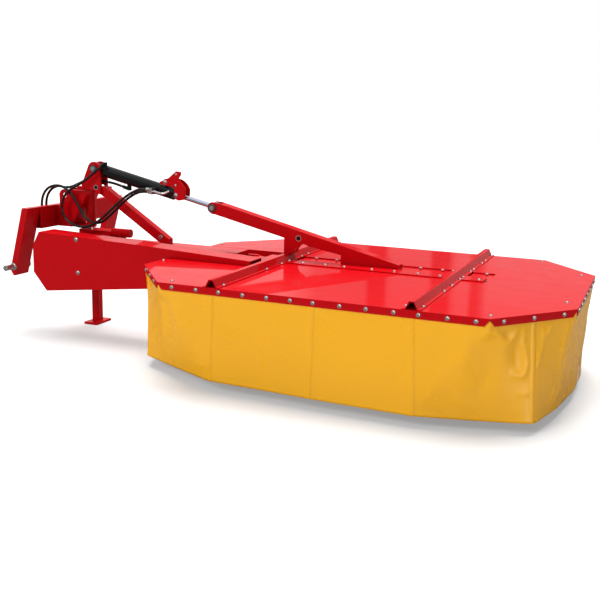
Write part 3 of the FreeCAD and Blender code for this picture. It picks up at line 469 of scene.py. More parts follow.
def bolted(name, spots, material, body, slot, dome=True, sides=6, **sizes):
    """Bolt heads on a body: spots are (point, facing) pairs."""
    points = bpy.data.meshes.new(name)
    points.from_pydata([tuple(point) for point, _ in spots], [], [])
    facing = points.attributes.new("facing", "FLOAT_VECTOR", "POINT")
    facing.data.foreach_set("vector", [value for _, way in spots for value in way])
    carrier = linked(name + "_points", points)
    label = "dome_bolts" if dome else f"bolts_{sides}_sides"
    tree = bpy.data.node_groups.get(label) or bolt_tree(label, sides, dome)
    modifier = carrier.modifiers.new("bolts", "NODES")
    modifier.node_group = tree
    for key, value in sizes.items():
        modifier[socket_id(tree, key.replace("_", " ").title())] = value
    modifier[socket_id(tree, "Finish")] = material
    result = settled(carrier)
    bpy.data.objects.remove(carrier)
    result.name = name
    return shown(name, result, material, body, smooth=35.0)


PLUG_CORE = 0.72


def plugged(name, place, radius, body):
    """Black plug in a light ring on a face turned to the rear."""
    looks = paints()
    spots = [(place, REAR)]
    flat = {"dome": False, "sides": 24, "washer_height": 0.0008}
    bolted(
        name + "_ring", spots, looks["zinc"], body, "zinc_steel",
        head_radius=radius, head_height=0.0012, washer_radius=radius * 0.9, **flat,
    )
    core = radius * PLUG_CORE
    bolted(
        name, spots, looks["black"], body, "black_paint",
        head_radius=core, head_height=0.0020, washer_radius=core * 0.9, **flat,
    )


# -------- deck


RIM_BOLTS = (
    -0.598, -0.490, -0.390, -0.286, -0.185, -0.087, 0.005,
    0.111, 0.213, 0.318, 0.410, 0.515, 0.616,
)
CHAMFER_BOLTS = ((-1, (0.14, 0.45, 0.76)), (1, (0.16, 0.51, 0.85)))
OUTER_BOLTS = 7
OUTER_BOLT_START = -0.318
OUTER_BOLT_PITCH = 0.106
RIM_BOLT_DROP = 0.015


def deck_edge_rows():
    """Flange bolts of the deck's long, corner and outer sides, as (x, y, facing)."""
    rows = []
    for side in (-1, 1):
        for x in RIM_BOLTS:
            rows.append((x, side * HALF_WIDTH, (0, side, 0)))
        run = math.hypot(CORNER_X, CORNER_Y)
        way = (CORNER_Y / run, CORNER_X / run)
        for end, shares in CHAMFER_BOLTS:
            for share in shares:
                x = end * (HALF_LENGTH - CORNER_X * share)
                y = side * (HALF_WIDTH - CORNER_Y * (1 - share))
                rows.append((x, y, (end * way[0], side * way[1], 0)))
    for step in range(OUTER_BOLTS):
        rows.append((HALF_LENGTH, OUTER_BOLT_START + step * OUTER_BOLT_PITCH, (1, 0, 0)))
    return rows


STRIP_THICK = 0.005
STRIP_RUNS = ((-0.386, 0.344), (0.420, 0.508))
STRIP_REAR = -0.040
STRIP_FRONT = 0.050
STRIP_SUNK = 0.001


def strip_mesh():
    """Cover strip along the rear edge of the gear case, on both sides of the outer ridge."""
    built = bmesh.new()
    for start, end in STRIP_RUNS:
        low = at(start, STRIP_REAR, DECK_TOP - STRIP_SUNK)
        high = at(end, STRIP_FRONT, DECK_TOP + STRIP_THICK)
        cube = bmesh.ops.create_cube(built, size=1.0)["verts"]
        bmesh.ops.scale(built, vec=high - low, verts=cube)
        bmesh.ops.translate(built, vec=(high + low) / 2, verts=cube)
    return mesh_from(built, "case_strip")


LONG_SIDE_BOLTS = tuple((x, side * 0.652) for side in (-1, 1) for x in (-0.625, 0.657))
CORNER_BOLTS = ((0.875, -0.285), (0.868, 0.350), (-0.905, -0.250), (-0.905, 0.330))
CASE_FRONT_ROW = 0.162
CASE_FRONT_BOLTS = (-0.318, -0.217, -0.125, -0.018, 0.076, 0.187, 0.288, 0.336, 0.486)
CASE_REAR_ROW = -0.010
CASE_REAR_BOLTS = (-0.317, -0.209, -0.119, 0.011, 0.114, 0.220, 0.318, 0.486)
RIDGE_BOLTS = (
    (SEAM_INNER, (-0.645, -0.235, -0.073, 0.014, 0.162, 0.247, 0.520, 0.655)),
    (SEAM_OUTER, (-0.640, -0.324, -0.191, -0.042, 0.015, 0.169, 0.236, 0.416, 0.503, 0.660)),
)
RIDGE_END_BOLTS = (-0.655, 0.655)
RIDGE_FOOT = 0.030


def deck_top_spots():
    """Bolts that stand on the deck's top: corners, gear case edges and ridge feet."""
    places = [at(x, y, DECK_TOP) for x, y in LONG_SIDE_BOLTS + CORNER_BOLTS]
    places += [at(x, CASE_FRONT_ROW, DECK_TOP) for x in CASE_FRONT_BOLTS]
    places += [at(x, CASE_REAR_ROW, DECK_TOP + STRIP_THICK) for x in CASE_REAR_BOLTS]
    for ridge, feet in RIDGE_BOLTS:
        places += [at(ridge + RIDGE_FOOT, y, DECK_TOP + DECK_SHEET) for y in feet]
        places += [at(ridge - RIDGE_FOOT, y, DECK_TOP + DECK_SHEET) for y in RIDGE_END_BOLTS]
    return [(place, UP) for place in places]


# Open mitre at each corner of the deck's edge: half width at its foot, depth and reach
MITRE_HALF = 0.024
MITRE_DEPTH = 0.034
MITRE_REACH = 0.028
# Corners in the deck's first quadrant, each with the way it faces from +X in radians
MITRES = (
    (HALF_LENGTH, HALF_WIDTH - CORNER_Y, 0.34),
    (HALF_LENGTH - CORNER_X, HALF_WIDTH, 1.23),
)


def mitred(panel):
    """Cuts the open mitres where the turned-down edges of two sides meet."""
    built = bmesh.new()
    low = Vector((0, 0, -MITRE_DEPTH))
    for end in (-1, 1):
        for side in (-1, 1):
            for x, y, lean in MITRES:
                out = Vector((end * math.cos(lean), side * math.sin(lean), 0))
                along = Vector((-out.y, out.x, 0))
                corner = at(end * x, side * y, DECK_TOP - DECK_SHEET)
                ends = []
                for reach in (-MITRE_REACH, MITRE_REACH):
                    foot = corner + out * reach
                    corners = (foot, foot + along * MITRE_HALF + low, foot - along * MITRE_HALF + low)
                    ends.append([built.verts.new(spot) for spot in corners])
                first, last = ends
                built.faces.new(first[::-1])
                built.faces.new(last)
                for k in range(3):
                    built.faces.new((first[k], first[(k + 1) % 3], last[(k + 1) % 3], last[k]))
    bmesh.ops.recalc_face_normals(built, faces=built.faces)
    cutter = linked("mitre_cutter", mesh_from(built, "mitre_cutter"))
    trim = panel.modifiers.new("mitres", "BOOLEAN")
    trim.operation = "DIFFERENCE"
    trim.object = cutter
    cut = settled(panel)
    panel.modifiers.clear()
    panel.data = cut
    bpy.data.objects.remove(cutter)


class MOWER_OT_deck(bpy.types.Operator):
    """Paint the deck, its ridges and gear case, and set their bolts"""

    bl_idname = "mower.deck"
    bl_label = "Deck"

    def execute(self, context):
        looks = paints()
        sizes = context.scene.mower_sizes
        painted(["gear_case", "inner_ridge", "outer_ridge"], looks["red"])
        for panel in painted(["rear_deck_panel", "front_deck_panel"], looks["red"]):
            mitred(panel)
        painted(["lift_arm"], looks["red"], PLATE_EDGE)
        shown("case_strip", strip_mesh(), looks["red"], "deck", smooth=30.0)
        rim = [(at(x, y, DECK_TOP - RIM_BOLT_DROP), way) for x, y, way in deck_edge_rows()]
        head = sizes.bolt_radius
        bolted(
            "deck_rim_bolts", rim, looks["zinc"], "deck", "zinc_steel",
            head_radius=head, head_height=head * 0.6, washer_radius=head * 1.05,
        )
        small = head * 0.8
        bolted(
            "deck_top_bolts", deck_top_spots(), looks["zinc"], "deck", "zinc_steel",
            head_radius=small, head_height=small * 0.85, washer_radius=small * 1.15,
        )
        plugged("arm_plug", at(-0.369, 0.055, 0.535), 0.0145, "deck")
        bolted(
            "arm_pin_bolt", [(near_face("arm_pin"), REAR)], looks["zinc"], "deck", "zinc_steel",
            dome=False, head_radius=0.008, head_height=0.005, washer_radius=0.011,
        )
        return {"FINISHED"}


# -------- skirts


def deck_corner(inset):
    """Corner points of the deck in its first quadrant, moved inward."""
    run = math.hypot(CORNER_X, CORNER_Y)
    nx, ny = CORNER_Y / run, CORNER_X / run
    reach = nx * HALF_LENGTH + ny * (HALF_WIDTH - CORNER_Y) - inset
    end_x = HALF_LENGTH - inset
    side_y = HALF_WIDTH - inset
    return (end_x, (reach - nx * end_x) / ny), ((reach - ny * side_y) / nx, side_y)


SKIRT_GAP = 0.0003
NOTCH_REAR = 0.197
NOTCH_FRONT = 0.240
NOTCH_ROOM = 0.008
SKIRT_MIDDLE = 0.119


def skirt_stations(side):
    """Top and hem points of the skirt round the deck, from the notch outward."""
    (ex, ey), (sx, sy) = deck_corner(DECK_SHEET + SKIRT_GAP)
    start = (NOTCH_REAR if side < 0 else NOTCH_FRONT) + NOTCH_ROOM
    quarter = (ex * 0.72 + sx * 0.28, ey * 0.72 + sy * 0.28)
    middle = ((ex + sx) / 2, (ey + sy) / 2)
    return [
        ((-ex, start), (-ex - 0.003, start)),
        ((-ex, ey), (-ex + 0.038, ey + 0.022)),
        ((-quarter[0], quarter[1]), (-quarter[0] - 0.006, quarter[1] + 0.010)),
        ((-sx, sy), (-sx + 0.022, sy - 0.108)),
        ((SEAM_INNER, sy), (SEAM_INNER - 0.014, sy - 0.010)),
        ((0.0, sy), (0.0, sy + 0.018)),
        ((SEAM_OUTER, sy), (SEAM_OUTER + 0.030, sy + 0.034)),
        ((sx, sy), (sx - 0.024, sy - 0.026)),
        (middle, (middle[0] + 0.037, middle[1] + 0.078)),
        ((ex, ey), (ex - 0.040, ey + 0.022)),
        ((ex, SKIRT_MIDDLE), (ex - 0.002, SKIRT_MIDDLE)),
        ((ex, SKIRT_GAP), (ex - 0.002, SKIRT_GAP)),
    ]


FOLD_RUNOUT = 0.15


def crease(s, v, fold):
    """Height of one soft fold at (s, v): fold is start, end, width and height."""
    (s0, v0), (s1, v1), width, height = fold
    ds, dv = s1 - s0, v1 - v0
    length = math.hypot(ds, dv)
    along = ((s - s0) * ds + (v - v0) * dv) / length**2
    if not -FOLD_RUNOUT < along < 1 + FOLD_RUNOUT:
        return 0.0
    across = ((s - s0) * dv - (v - v0) * ds) / length
    taper = math.sin(math.pi * min(1.0, max(0.0, (along + FOLD_RUNOUT) / (1 + 2 * FOLD_RUNOUT))))
    return height * taper * math.exp(-(abs(across / width) ** 1.5))


# Folds as start, end, width and height; a point is metres along the hem and down the cloth.
FOLDS = [
    ((0.10, 0.02), (0.14, 0.30), 0.018, 0.005),
    ((0.20, 0.02), (0.26, 0.28), 0.018, -0.005),
    ((0.60, 0.02), (0.48, 0.31), 0.013, 0.007),
    ((0.64, 0.04), (0.53, 0.30), 0.024, -0.004),
    ((0.60, 0.00), (0.42, 0.09), 0.013, 0.006),
    ((0.62, 0.04), (0.80, 0.27), 0.060, 0.005),
    ((0.74, 0.29), (0.84, 0.29), 0.014, 0.004),
    ((0.87, 0.07), (1.09, 0.17), 0.045, -0.005),
    ((1.30, 0.01), (1.38, 0.08), 0.028, -0.004),
    ((1.97, 0.03), (1.80, 0.23), 0.050, 0.009),
    ((1.81, 0.22), (1.74, 0.30), 0.035, 0.006),
    ((2.04, 0.12), (1.95, 0.27), 0.045, -0.007),
    ((1.99, 0.00), (2.067, 0.065), 0.011, 0.007),
    ((2.067, 0.065), (2.116, 0.015), 0.011, 0.007),
    ((2.06, 0.00), (2.066, 0.05), 0.018, -0.006),
    ((2.14, 0.00), (2.135, 0.07), 0.010, 0.005),
    ((2.135, 0.06), (2.157, 0.14), 0.011, 0.006),
    ((2.157, 0.13), (2.14, 0.19), 0.011, 0.006),
    ((2.14, 0.185), (2.09, 0.175), 0.012, 0.005),
    ((2.10, 0.06), (2.12, 0.16), 0.024, -0.007),
    ((2.235, 0.02), (2.232, 0.09), 0.011, 0.005),
    ((2.232, 0.09), (2.20, 0.17), 0.012, 0.006),
    ((2.285, 0.00), (2.245, 0.06), 0.013, 0.007),
    ((2.12, 0.25), (2.18, 0.24), 0.010, 0.004),
    ((2.37, 0.02), (2.36, 0.20), 0.016, 0.006),
    ((2.36, 0.25), (2.32, 0.31), 0.011, 0.007),
    ((2.39, 0.27), (2.35, 0.33), 0.011, 0.007),
    ((2.60, 0.04), (2.55, 0.28), 0.030, 0.005),
]


def path_point(marks, s):
    """Place on a chain of (distance, point) marks."""
    for (s0, a), (s1, b) in zip(marks, marks[1:]):
        if s <= s1:
            return a.lerp(b, (s - s0) / (s1 - s0))
    return marks[-1][1].copy()


EASE_STEPS = 4


def eased_point(marks, s, reach):
    """Place on a chain whose corners are rounded over a reach."""
    room = min(reach, s - marks[0][0], marks[-1][0] - s)
    steps = range(-EASE_STEPS, EASE_STEPS + 1)
    total = sum((path_point(marks, s + room * step / EASE_STEPS) for step in steps), Vector((0, 0)))
    return total / len(steps)


COLUMN_STEP = 0.0075
SEAM_STATIONS = (2, 4, 5, 6, 8)
CORNER_STATIONS = (3, 7)
SEAM_HALF = 0.010
SEAM_EDGES = (-0.0108, -0.0092, 0.0092, 0.0108)


def skirt_columns(stations):
    """Distances along the cloth, its seams, and its upper and lower chains."""
    upper, lower = [(0.0, Vector(stations[0][0]))], [(0.0, Vector(stations[0][1]))]
    for (top0, low0), (top1, low1) in zip(stations, stations[1:]):
        run = max(math.dist(top0, top1), math.dist(low0, low1))
        distance = upper[-1][0] + run
        upper.append((distance, Vector(top1)))
        lower.append((distance, Vector(low1)))
    seams = [upper[index][0] for index in SEAM_STATIONS]
    end = upper[-1][0]
    count = round(end / COLUMN_STEP)
    spots = [end * k / count for k in range(count + 1)]
    for seam in seams:
        spots = [s for s in spots if abs(abs(s - seam) - SEAM_HALF) > 0.003]
        spots += [seam + shift for shift in SEAM_EDGES]
    return sorted(spots), seams, upper, lower


SKIRT_TOP = DECK_TOP - 0.008
SKIRT_RIM = DECK_TOP - 0.034
SKIRT_LOW = 0.046
SKIRT_ROWS = 50
HEM = 0.016
HEM_TURNED_IN = 0.020
SECOND_LAYER = 0.0014
PUSH_LIMIT = 0.010
SWAY = 0.004
TIGHT_EASE = 0.03
CORNER_EASE = 0.09


def outward(upper, s):
    """Way out from the deck at a distance along the cloth."""
    after = eased_point(upper, min(s + 0.01, upper[-1][0]), TIGHT_EASE)
    before = eased_point(upper, max(s - 0.01, 0.0), TIGHT_EASE)
    along = after - before
    return Vector((-along.y, along.x)).normalized()


def skirt_mesh(side, name):
    """Cloth skirt of one side, with seams, folds and a hem, and its flat size and area."""
    spots, seams, upper, lower = skirt_columns(skirt_stations(side))
    corners = [upper[index][0] for index in CORNER_STATIONS]
    height = SKIRT_RIM - SKIRT_LOW
    rows = [(SKIRT_TOP + (SKIRT_RIM - SKIRT_TOP) * share, 0.0) for share in (0.0, 0.5, 1.0)]
    rows += [(SKIRT_RIM - height * k / SKIRT_ROWS, k / SKIRT_ROWS) for k in range(1, SKIRT_ROWS + 1)]
    verts, coords = [], []
    for s in spots:
        near = min(abs(s - corner) for corner in corners)
        reach = TIGHT_EASE + CORNER_EASE * math.exp(-((near / 0.10) ** 2))
        top, soft, low = path_point(upper, s), eased_point(upper, s, reach), eased_point(lower, s, reach)
        way = outward(upper, s)
        seam = min(abs(s - mark) for mark in seams)
        for z, down in rows:
            v = down * height
            ease = min(1.0, down * 5)
            spot = top.lerp(soft, ease * ease * (3 - 2 * ease)).lerp(low, down)
            push = sum(crease(s, v, fold) for fold in FOLDS) * min(1.0, down * 14)
            push += SWAY * down * noise.noise(Vector((s * 3.1, v * 4.0, side * 2.0)))
            push += SECOND_LAYER * (seam < SEAM_HALF) + SECOND_LAYER * (height - v < HEM)
            spot = spot + way * max(-PUSH_LIMIT, min(PUSH_LIMIT, push))
            verts.append(at(spot.x, side * spot.y, z))
            coords.append((s, z))
    faces = []
    across = len(rows)
    for column in range(len(spots) - 1):
        for row in range(across - 1):
            a = column * across + row
            quad = (a, a + 1, a + across + 1, a + across)
            faces.append(quad if side < 0 else quad[::-1])
    mesh = bpy.data.meshes.new(name)
    mesh.from_pydata(verts, [], faces)
    uv = mesh.uv_layers.new(name="cloth_map")
    for loop in mesh.loops:
        uv.data[loop.index].uv = coords[loop.vertex_index]
    area = sum(face.area for face in mesh.polygons)
    return mesh, (spots[-1], SKIRT_TOP - SKIRT_LOW + HEM_TURNED_IN), area


class MOWER_OT_skirts(bpy.types.Operator):
    """Hang the cloth skirts from the deck's edge"""

    bl_idname = "mower.skirts"
    bl_label = "Skirts"

    def execute(self, context):
        looks = paints()
        for side, label in ((-1, "rear"), (1, "front")):
            mesh, flat, area = skirt_mesh(side, f"{label}_skirt_cloth")
            piece = shown(f"{label}_skirt_cloth", mesh, looks["cloth"], "deck", smooth=80.0)
            thick = piece.modifiers.new("cloth_thickness", "SOLIDIFY")
            thick.thickness = context.scene.mower_sizes.cloth_thickness
            thick.offset = -1.0
            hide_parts(f"{label}_skirt")
        return {"FINISHED"}


# -------- boom and head

GUARD_REAR = -0.190
GUARD_BOLTS = ((-1.426, 0.476), (-1.420, 0.314), (-0.790, 0.345))


class MOWER_OT_boom(bpy.types.Operator):
    """Paint the boom, mast, brace and belt guard, and set their bolts"""

    bl_idname = "mower.boom"
    bl_label = "Boom and guard"

    def execute(self, context):
        looks = paints()
        nodes = ["boom_beam", "boom_neck", "stub_tube", "mast", "mast_brace", "stand_sleeve"]
        painted(nodes, looks["red"], PLATE_EDGE)
        painted(["belt_guard"], looks["red"], PANEL_EDGE)
        painted(["input_housing"], looks["black"], PLATE_EDGE)
        painted(["fold_pin", "swing_pin"], looks["zinc"], FINE_EDGE)
        painted(["mast_pin"], looks["pin"], FINE_EDGE)
        painted(["input_shaft"], looks["steel"], FINE_EDGE)
        bolted(
            "guard_bolts", [(at(x, GUARD_REAR, z), REAR) for x, z in GUARD_BOLTS],
            looks["zinc"], "boom", "zinc_steel", head_radius=0.010, head_height=0.006,
        )
        foot = [(at(-1.109, 0.065, 0.481), REAR), (at(-1.109, 0.105, 0.481), FRONT)]
        bolted(
            "brace_bolts", foot, looks["zinc"], "boom", "zinc_steel",
            dome=False, head_radius=0.010, head_height=0.008, washer_radius=0.013,
        )
        plugged("ear_plug", at(-1.474, 0.051, 0.706), 0.0125, "boom")
        bolted(
            "mast_pin_bolt", [(near_face("mast_pin"), REAR)], looks["zinc"], "boom", "zinc_steel",
            dome=False, head_radius=0.009, head_height=0.006, washer_radius=0.012,
        )
        return {"FINISHED"}


class MOWER_OT_head(bpy.types.Operator):
    """Paint the hitch head and its pins"""

    bl_idname = "mower.head"
    bl_label = "Hitch head"

    def execute(self, context):
        looks = paints()
        painted(["head_bar", "rear_leg", "front_leg", "head_tower"], looks["red"], PLATE_EDGE)
        painted(["rear_link_pin", "front_link_pin", "coupler_rack"], looks["zinc"], PANEL_EDGE)
        return {"FINISHED"}


class MOWER_OT_stand(bpy.types.Operator):
    """Paint the parking stand"""

    bl_idname = "mower.stand"
    bl_label = "Stand"

    def execute(self, context):
        painted(["stand_leg"], paints()["red"], PLATE_EDGE)
        return {"FINISHED"}


LATCH_REAR = 0.061
LATCH_BOLTS = ((-1.021, 0.694), (-1.080, 0.754))
LATCH_RIVETS = ((-1.022, 0.741), (-1.019, 0.794))


class MOWER_OT_cylinder(bpy.types.Operator):
    """Finish the lift cylinder, its rod and the latch"""

    bl_idname = "mower.cylinder"
    bl_label = "Lift cylinder"

    def execute(self, context):
        looks = paints()
        painted(["lift_barrel"], looks["black"], PANEL_EDGE)
        painted(["lift_rod"], looks["chrome"], FINE_EDGE)
        painted(["transport_latch"], looks["red"], FINE_EDGE)
        painted(["cylinder_pipe"], looks["zinc"], FINE_EDGE)
        painted(["arm_pin"], looks["pin"], FINE_EDGE)
        large = [(at(x, LATCH_REAR, z), REAR) for x, z in LATCH_BOLTS]
        bolted(
            "latch_bolts", large, looks["zinc"], "lift_cylinder", "zinc_steel",
            head_radius=0.0095, head_height=0.007, washer_radius=0.011,
        )
        small = [(at(x, LATCH_REAR, z), REAR) for x, z in LATCH_RIVETS]
        bolted(
            "latch_rivets", small, looks["zinc"], "lift_cylinder", "zinc_steel",
            head_radius=0.0055, head_height=0.004, washer_radius=0.006,
        )
        return {"FINISHED"}


# -------- hoses

HOSE_RADIUS = 0.0065
LIFT_ROUTE = [
    (-1.436, 0.044, 0.811),
    (-1.467, 0.030, 0.783),
    (-1.510, 0.025, 0.747),
    (-1.556, 0.020, 0.717),
    (-1.602, 0.017, 0.694),
    (-1.640, 0.017, 0.662),
    (-1.660, 0.017, 0.620),
    (-1.660, 0.017, 0.574),
    (-1.637, 0.017, 0.537),
    (-1.594, 0.017, 0.513),
    (-1.545, 0.017, 0.504),
    (-1.492, 0.017, 0.513),
    (-1.438, 0.017, 0.542),
    (-1.384, 0.017, 0.586),
    (-1.328, 0.017, 0.636),
    (-1.272, 0.017, 0.680),
    (-1.220, 0.017, 0.708),
    (-1.188, 0.017, 0.717),
    (-1.158, 0.017, 0.717),
]
ROD_ROUTE = [
    (-1.782, 0.012, 0.560),
    (-1.782, 0.012, 0.604),
    (-1.775, 0.014, 0.650),
    (-1.750, 0.019, 0.689),
    (-1.706, 0.026, 0.708),
    (-1.658, 0.032, 0.702),
    (-1.616, 0.032, 0.673),
    (-1.582, 0.032, 0.628),
    (-1.553, 0.032, 0.581),
    (-1.519, 0.032, 0.544),
    (-1.474, 0.032, 0.526),
    (-1.427, 0.032, 0.536),
    (-1.380, 0.032, 0.572),
    (-1.328, 0.032, 0.621),
    (-1.273, 0.032, 0.667),
    (-1.222, 0.032, 0.696),
    (-1.188, 0.032, 0.704),
    (-1.158, 0.032, 0.704),
]
BARREL_ROUTE = [
    (-1.782, 0.048, 0.560),
    (-1.782, 0.048, 0.604),
    (-1.773, 0.048, 0.649),
    (-1.745, 0.048, 0.685),
    (-1.702, 0.047, 0.703),
    (-1.661, 0.046, 0.697),
    (-1.622, 0.047, 0.700),
    (-1.588, 0.057, 0.717),
    (-1.556, 0.071, 0.735),
    (-1.522, 0.081, 0.744),
    (-1.484, 0.084, 0.741),
    (-1.446, 0.085, 0.734),
    (-1.405, 0.085, 0.732),
    (-1.366, 0.085, 0.724),
    (-1.334, 0.085, 0.715),
]


def route_line(name, points):
    """Points along a smooth spline through a hose's route, in order."""
    data = bpy.data.curves.new(name, "CURVE")
    data.dimensions = "3D"
    spline = data.splines.new("NURBS")
    spline.points.add(len(points) - 1)
    for point, place in zip(spline.points, points):
        point.co = (*at(*place), 1.0)
    spline.order_u = 3
    spline.use_endpoint_u = True
    spline.resolution_u = 8
    carrier = linked(name, data)
    line = settled(carrier)
    spots = [vertex.co.copy() for vertex in line.vertices]
    bpy.data.meshes.remove(line)
    bpy.data.objects.remove(carrier)
    return spots


def hose_mesh(name, path, radius, sides=16):
    """Round tube that follows a path, with closed ends."""
    built = bmesh.new()
    side = Vector((0, 1, 0))
    rings = []
    for index, spot in enumerate(path):
        ahead = path[min(index + 1, len(path) - 1)] - path[max(index - 1, 0)]
        ahead.normalize()
        side = (side - ahead * side.dot(ahead)).normalized()
        other = ahead.cross(side)
        ring = []
        for k in range(sides):
            turn = 2 * math.pi * k / sides
            ring.append(built.verts.new(spot + (side * math.cos(turn) + other * math.sin(turn)) * radius))
        rings.append(ring)
    for first, second in zip(rings, rings[1:]):
        for k in range(sides):
            nxt = (k + 1) % sides
            built.faces.new((first[k], first[nxt], second[nxt], second[k]))
    built.faces.new(rings[0][::-1])
    built.faces.new(rings[-1])
    return mesh_from(built, name)


def hose(name, path, node, body=None):
    """Hose piece along part of a route; with no body it is attached to none."""
    mesh = hose_mesh(name, path, HOSE_RADIUS)
    piece = shown(name, mesh, paints()["rubber"], body, smooth=60.0)
    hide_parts(node)
    return piece


def split_at(path, x):
    """Index of the path's point nearest to this x from the deck's middle."""
    place = at(x, 0, 0).x
    return min(range(len(path)), key=lambda index: abs(path[index].x - place))


# Where the supply hoses part, as x from the deck's middle; the points on each side make one piece
ROD_PARTING = -1.474
BARREL_PARTING = -1.522


class MOWER_OT_hoses(bpy.types.Operator):
    """Lay the lift cylinder's hoses"""

    bl_idname = "mower.hoses"
    bl_label = "Hoses"

    def execute(self, context):
        hose("lift_hose_line", route_line("lift_route", LIFT_ROUTE), "lift_hose", "lift_cylinder")
        routes = (
            ("rod_supply_hose", ROD_ROUTE, ROD_PARTING),
            ("barrel_supply_hose", BARREL_ROUTE, BARREL_PARTING),
        )
        for node, route, parting in routes:
            path = route_line(node + "_route", route)
            cut = split_at(path, parting)
            upper = hose(node + "_upper", path[: cut + 1], node)
            lower = hose(node + "_lower", path[cut:], node)
            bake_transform(upper)
            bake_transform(lower)
        return {"FINISHED"}


class MOWER_OT_drums(bpy.types.Operator):
    """Finish the drums, knives and saucers"""

    bl_idname = "mower.drums"
    bl_label = "Drums"

    def execute(self, context):
        looks = paints()
        painted(["inner_drum", "outer_drum"], looks["red"], FINE_EDGE)
        knives = [node for node in NODES if "knife" in node]
        painted(knives, looks["steel"], KNIFE_EDGE)
        painted(["inner_saucer", "outer_saucer"], looks["steel"], FINE_EDGE)
        return {"FINISHED"}


# -------- studio


CAMERA_PLACE = (1.193, -3.74, 1.132)
CAMERA_LENS = 53.82
# Yaw to the left, pitch down and roll, in radians
CAMERA_TURN = (0.387, 0.213, 0.026)


def camera_view():
    """Camera behind the deck's outer end, looking a little down along the machine."""
    camera = linked("camera", bpy.data.cameras.new("camera"))
    camera.data.lens = CAMERA_LENS
    camera.data.sensor_width = 36.0
    yaw, pitch, roll = CAMERA_TURN
    ahead = Vector((-math.sin(yaw) * math.cos(pitch), math.cos(yaw) * math.cos(pitch), -math.sin(pitch)))
    right = ahead.cross(Vector((0, 0, 1))).normalized()
    up = right.cross(ahead)
    side = right * math.cos(roll) + up * math.sin(roll)
    top = side.cross(ahead)
    turn = Matrix((side, top, -ahead)).transposed()
    camera.matrix_world = Matrix.Translation(at(*CAMERA_PLACE)) @ turn.to_4x4()
    bpy.context.scene.camera = camera
    return camera


FLOOR_REACH = 30.0
FLOOR_TONE = (0.52, 0.52, 0.52, 1.0)
FLOOR_MIRRORED_TONE = (0.13, 0.13, 0.13, 1.0)
FLOOR_GLOW = 0.30


def backdrop_material():
    """Matt floor that the camera sees as white and reflections see as a darker grey."""
    material = bpy.data.materials.new("studio_floor")
    material.use_nodes = True
    tree = material.node_tree
    shader = tree.nodes["Principled BSDF"]
    shader.inputs["Roughness"].default_value = 0.9
    shader.inputs["Specular IOR Level"].default_value = 0.1
    shader.inputs["Emission Color"].default_value = (1.0, 1.0, 1.0, 1.0)
    path = tree.nodes.new("ShaderNodeLightPath")
    dim = tree.nodes.new("ShaderNodeMix")
    dim.data_type = "RGBA"
    dim.inputs["A"].default_value = FLOOR_TONE
    dim.inputs["B"].default_value = FLOOR_MIRRORED_TONE
    tree.links.new(path.outputs["Is Glossy Ray"], dim.inputs["Factor"])
    tree.links.new(dim.outputs["Result"], shader.inputs["Base Color"])
    glow = worked(tree, "MULTIPLY", path.outputs["Is Camera Ray"], FLOOR_GLOW)
    tree.links.new(glow, shader.inputs["Emission Strength"])
    return material


def lamp(name, azimuth, elevation, strength, softness, mirrored):
    """Even light from a direction in degrees; mirrored light shows in reflections only."""
    data = bpy.data.lights.new(name, "SUN")
    data.energy = strength
    data.angle = math.radians(softness)
    light = linked(name, data)
    light.visible_glossy = mirrored
    light.visible_diffuse = not mirrored
    level = math.cos(math.radians(elevation))
    turn = math.radians(azimuth)
    way = Vector((math.cos(turn) * level, math.sin(turn) * level, math.sin(math.radians(elevation))))
    light.rotation_euler = way.to_track_quat("Z", "Y").to_euler()
    return light


# Brightness of the surroundings in a reflection, by compass angle from +Y in radians.
SKYLINE = [
    (-0.90, 0.38),
    (-0.70, 0.85),
    (-0.40, 0.85),
    (-0.37, 0.30),
    (-0.315, 0.30),
    (-0.311, 0.02),
    (-0.291, 0.02),
    (-0.287, 0.36),
    (-0.242, 0.36),
    (-0.238, 0.02),
    (-0.219, 0.04),
    (-0.215, 0.45),
    (-0.200, 0.45),
    (-0.196, 0.06),
    (-0.185, 0.06),
    (-0.181, 0.52),
    (0.10, 0.52),
    (0.50, 0.38),
]


# Height at which the skyline gives way to the sky overhead, as the z of a direction
SKY_STARTS = 0.35
SKY_FULL = 0.70
SKY_LEVEL = 0.95


def skyline(tree):
    """Strength of the surroundings as glossy surfaces see them, with darker uprights."""
    nodes = tree.nodes
    link = tree.links.new
    coords = nodes.new("ShaderNodeTexCoord").outputs["Generated"]
    parts = nodes.new("ShaderNodeSeparateXYZ")
    link(coords, parts.inputs[0])
    low, high = SKYLINE[0][0], SKYLINE[-1][0]
    angle = worked(tree, "ARCTAN2", parts.outputs["X"], parts.outputs["Y"])
    share = ranged(tree, angle, low, high)
    curve = nodes.new("ShaderNodeFloatCurve")
    line = curve.mapping.curves[0]
    while len(line.points) < len(SKYLINE):
        line.points.new(0.5, 0.5)
    for point, (turn, value) in zip(line.points, SKYLINE):
        point.location = ((turn - low) / (high - low), value / 2)
        point.handle_type = "VECTOR"
    curve.mapping.update()
    link(share.outputs["Result"], curve.inputs["Value"])
    rise = ranged(tree, parts.outputs["Z"], SKY_STARTS, SKY_FULL)
    rise.interpolation_type = "SMOOTHSTEP"
    overhead = nodes.new("ShaderNodeMix")
    overhead.inputs["B"].default_value = SKY_LEVEL
    link(rise.outputs["Result"], overhead.inputs["Factor"])
    link(worked(tree, "MULTIPLY", curve.outputs["Value"], 2.0), overhead.inputs["A"])
    return overhead.outputs["Result"]


WORLD_LEVEL = 0.30


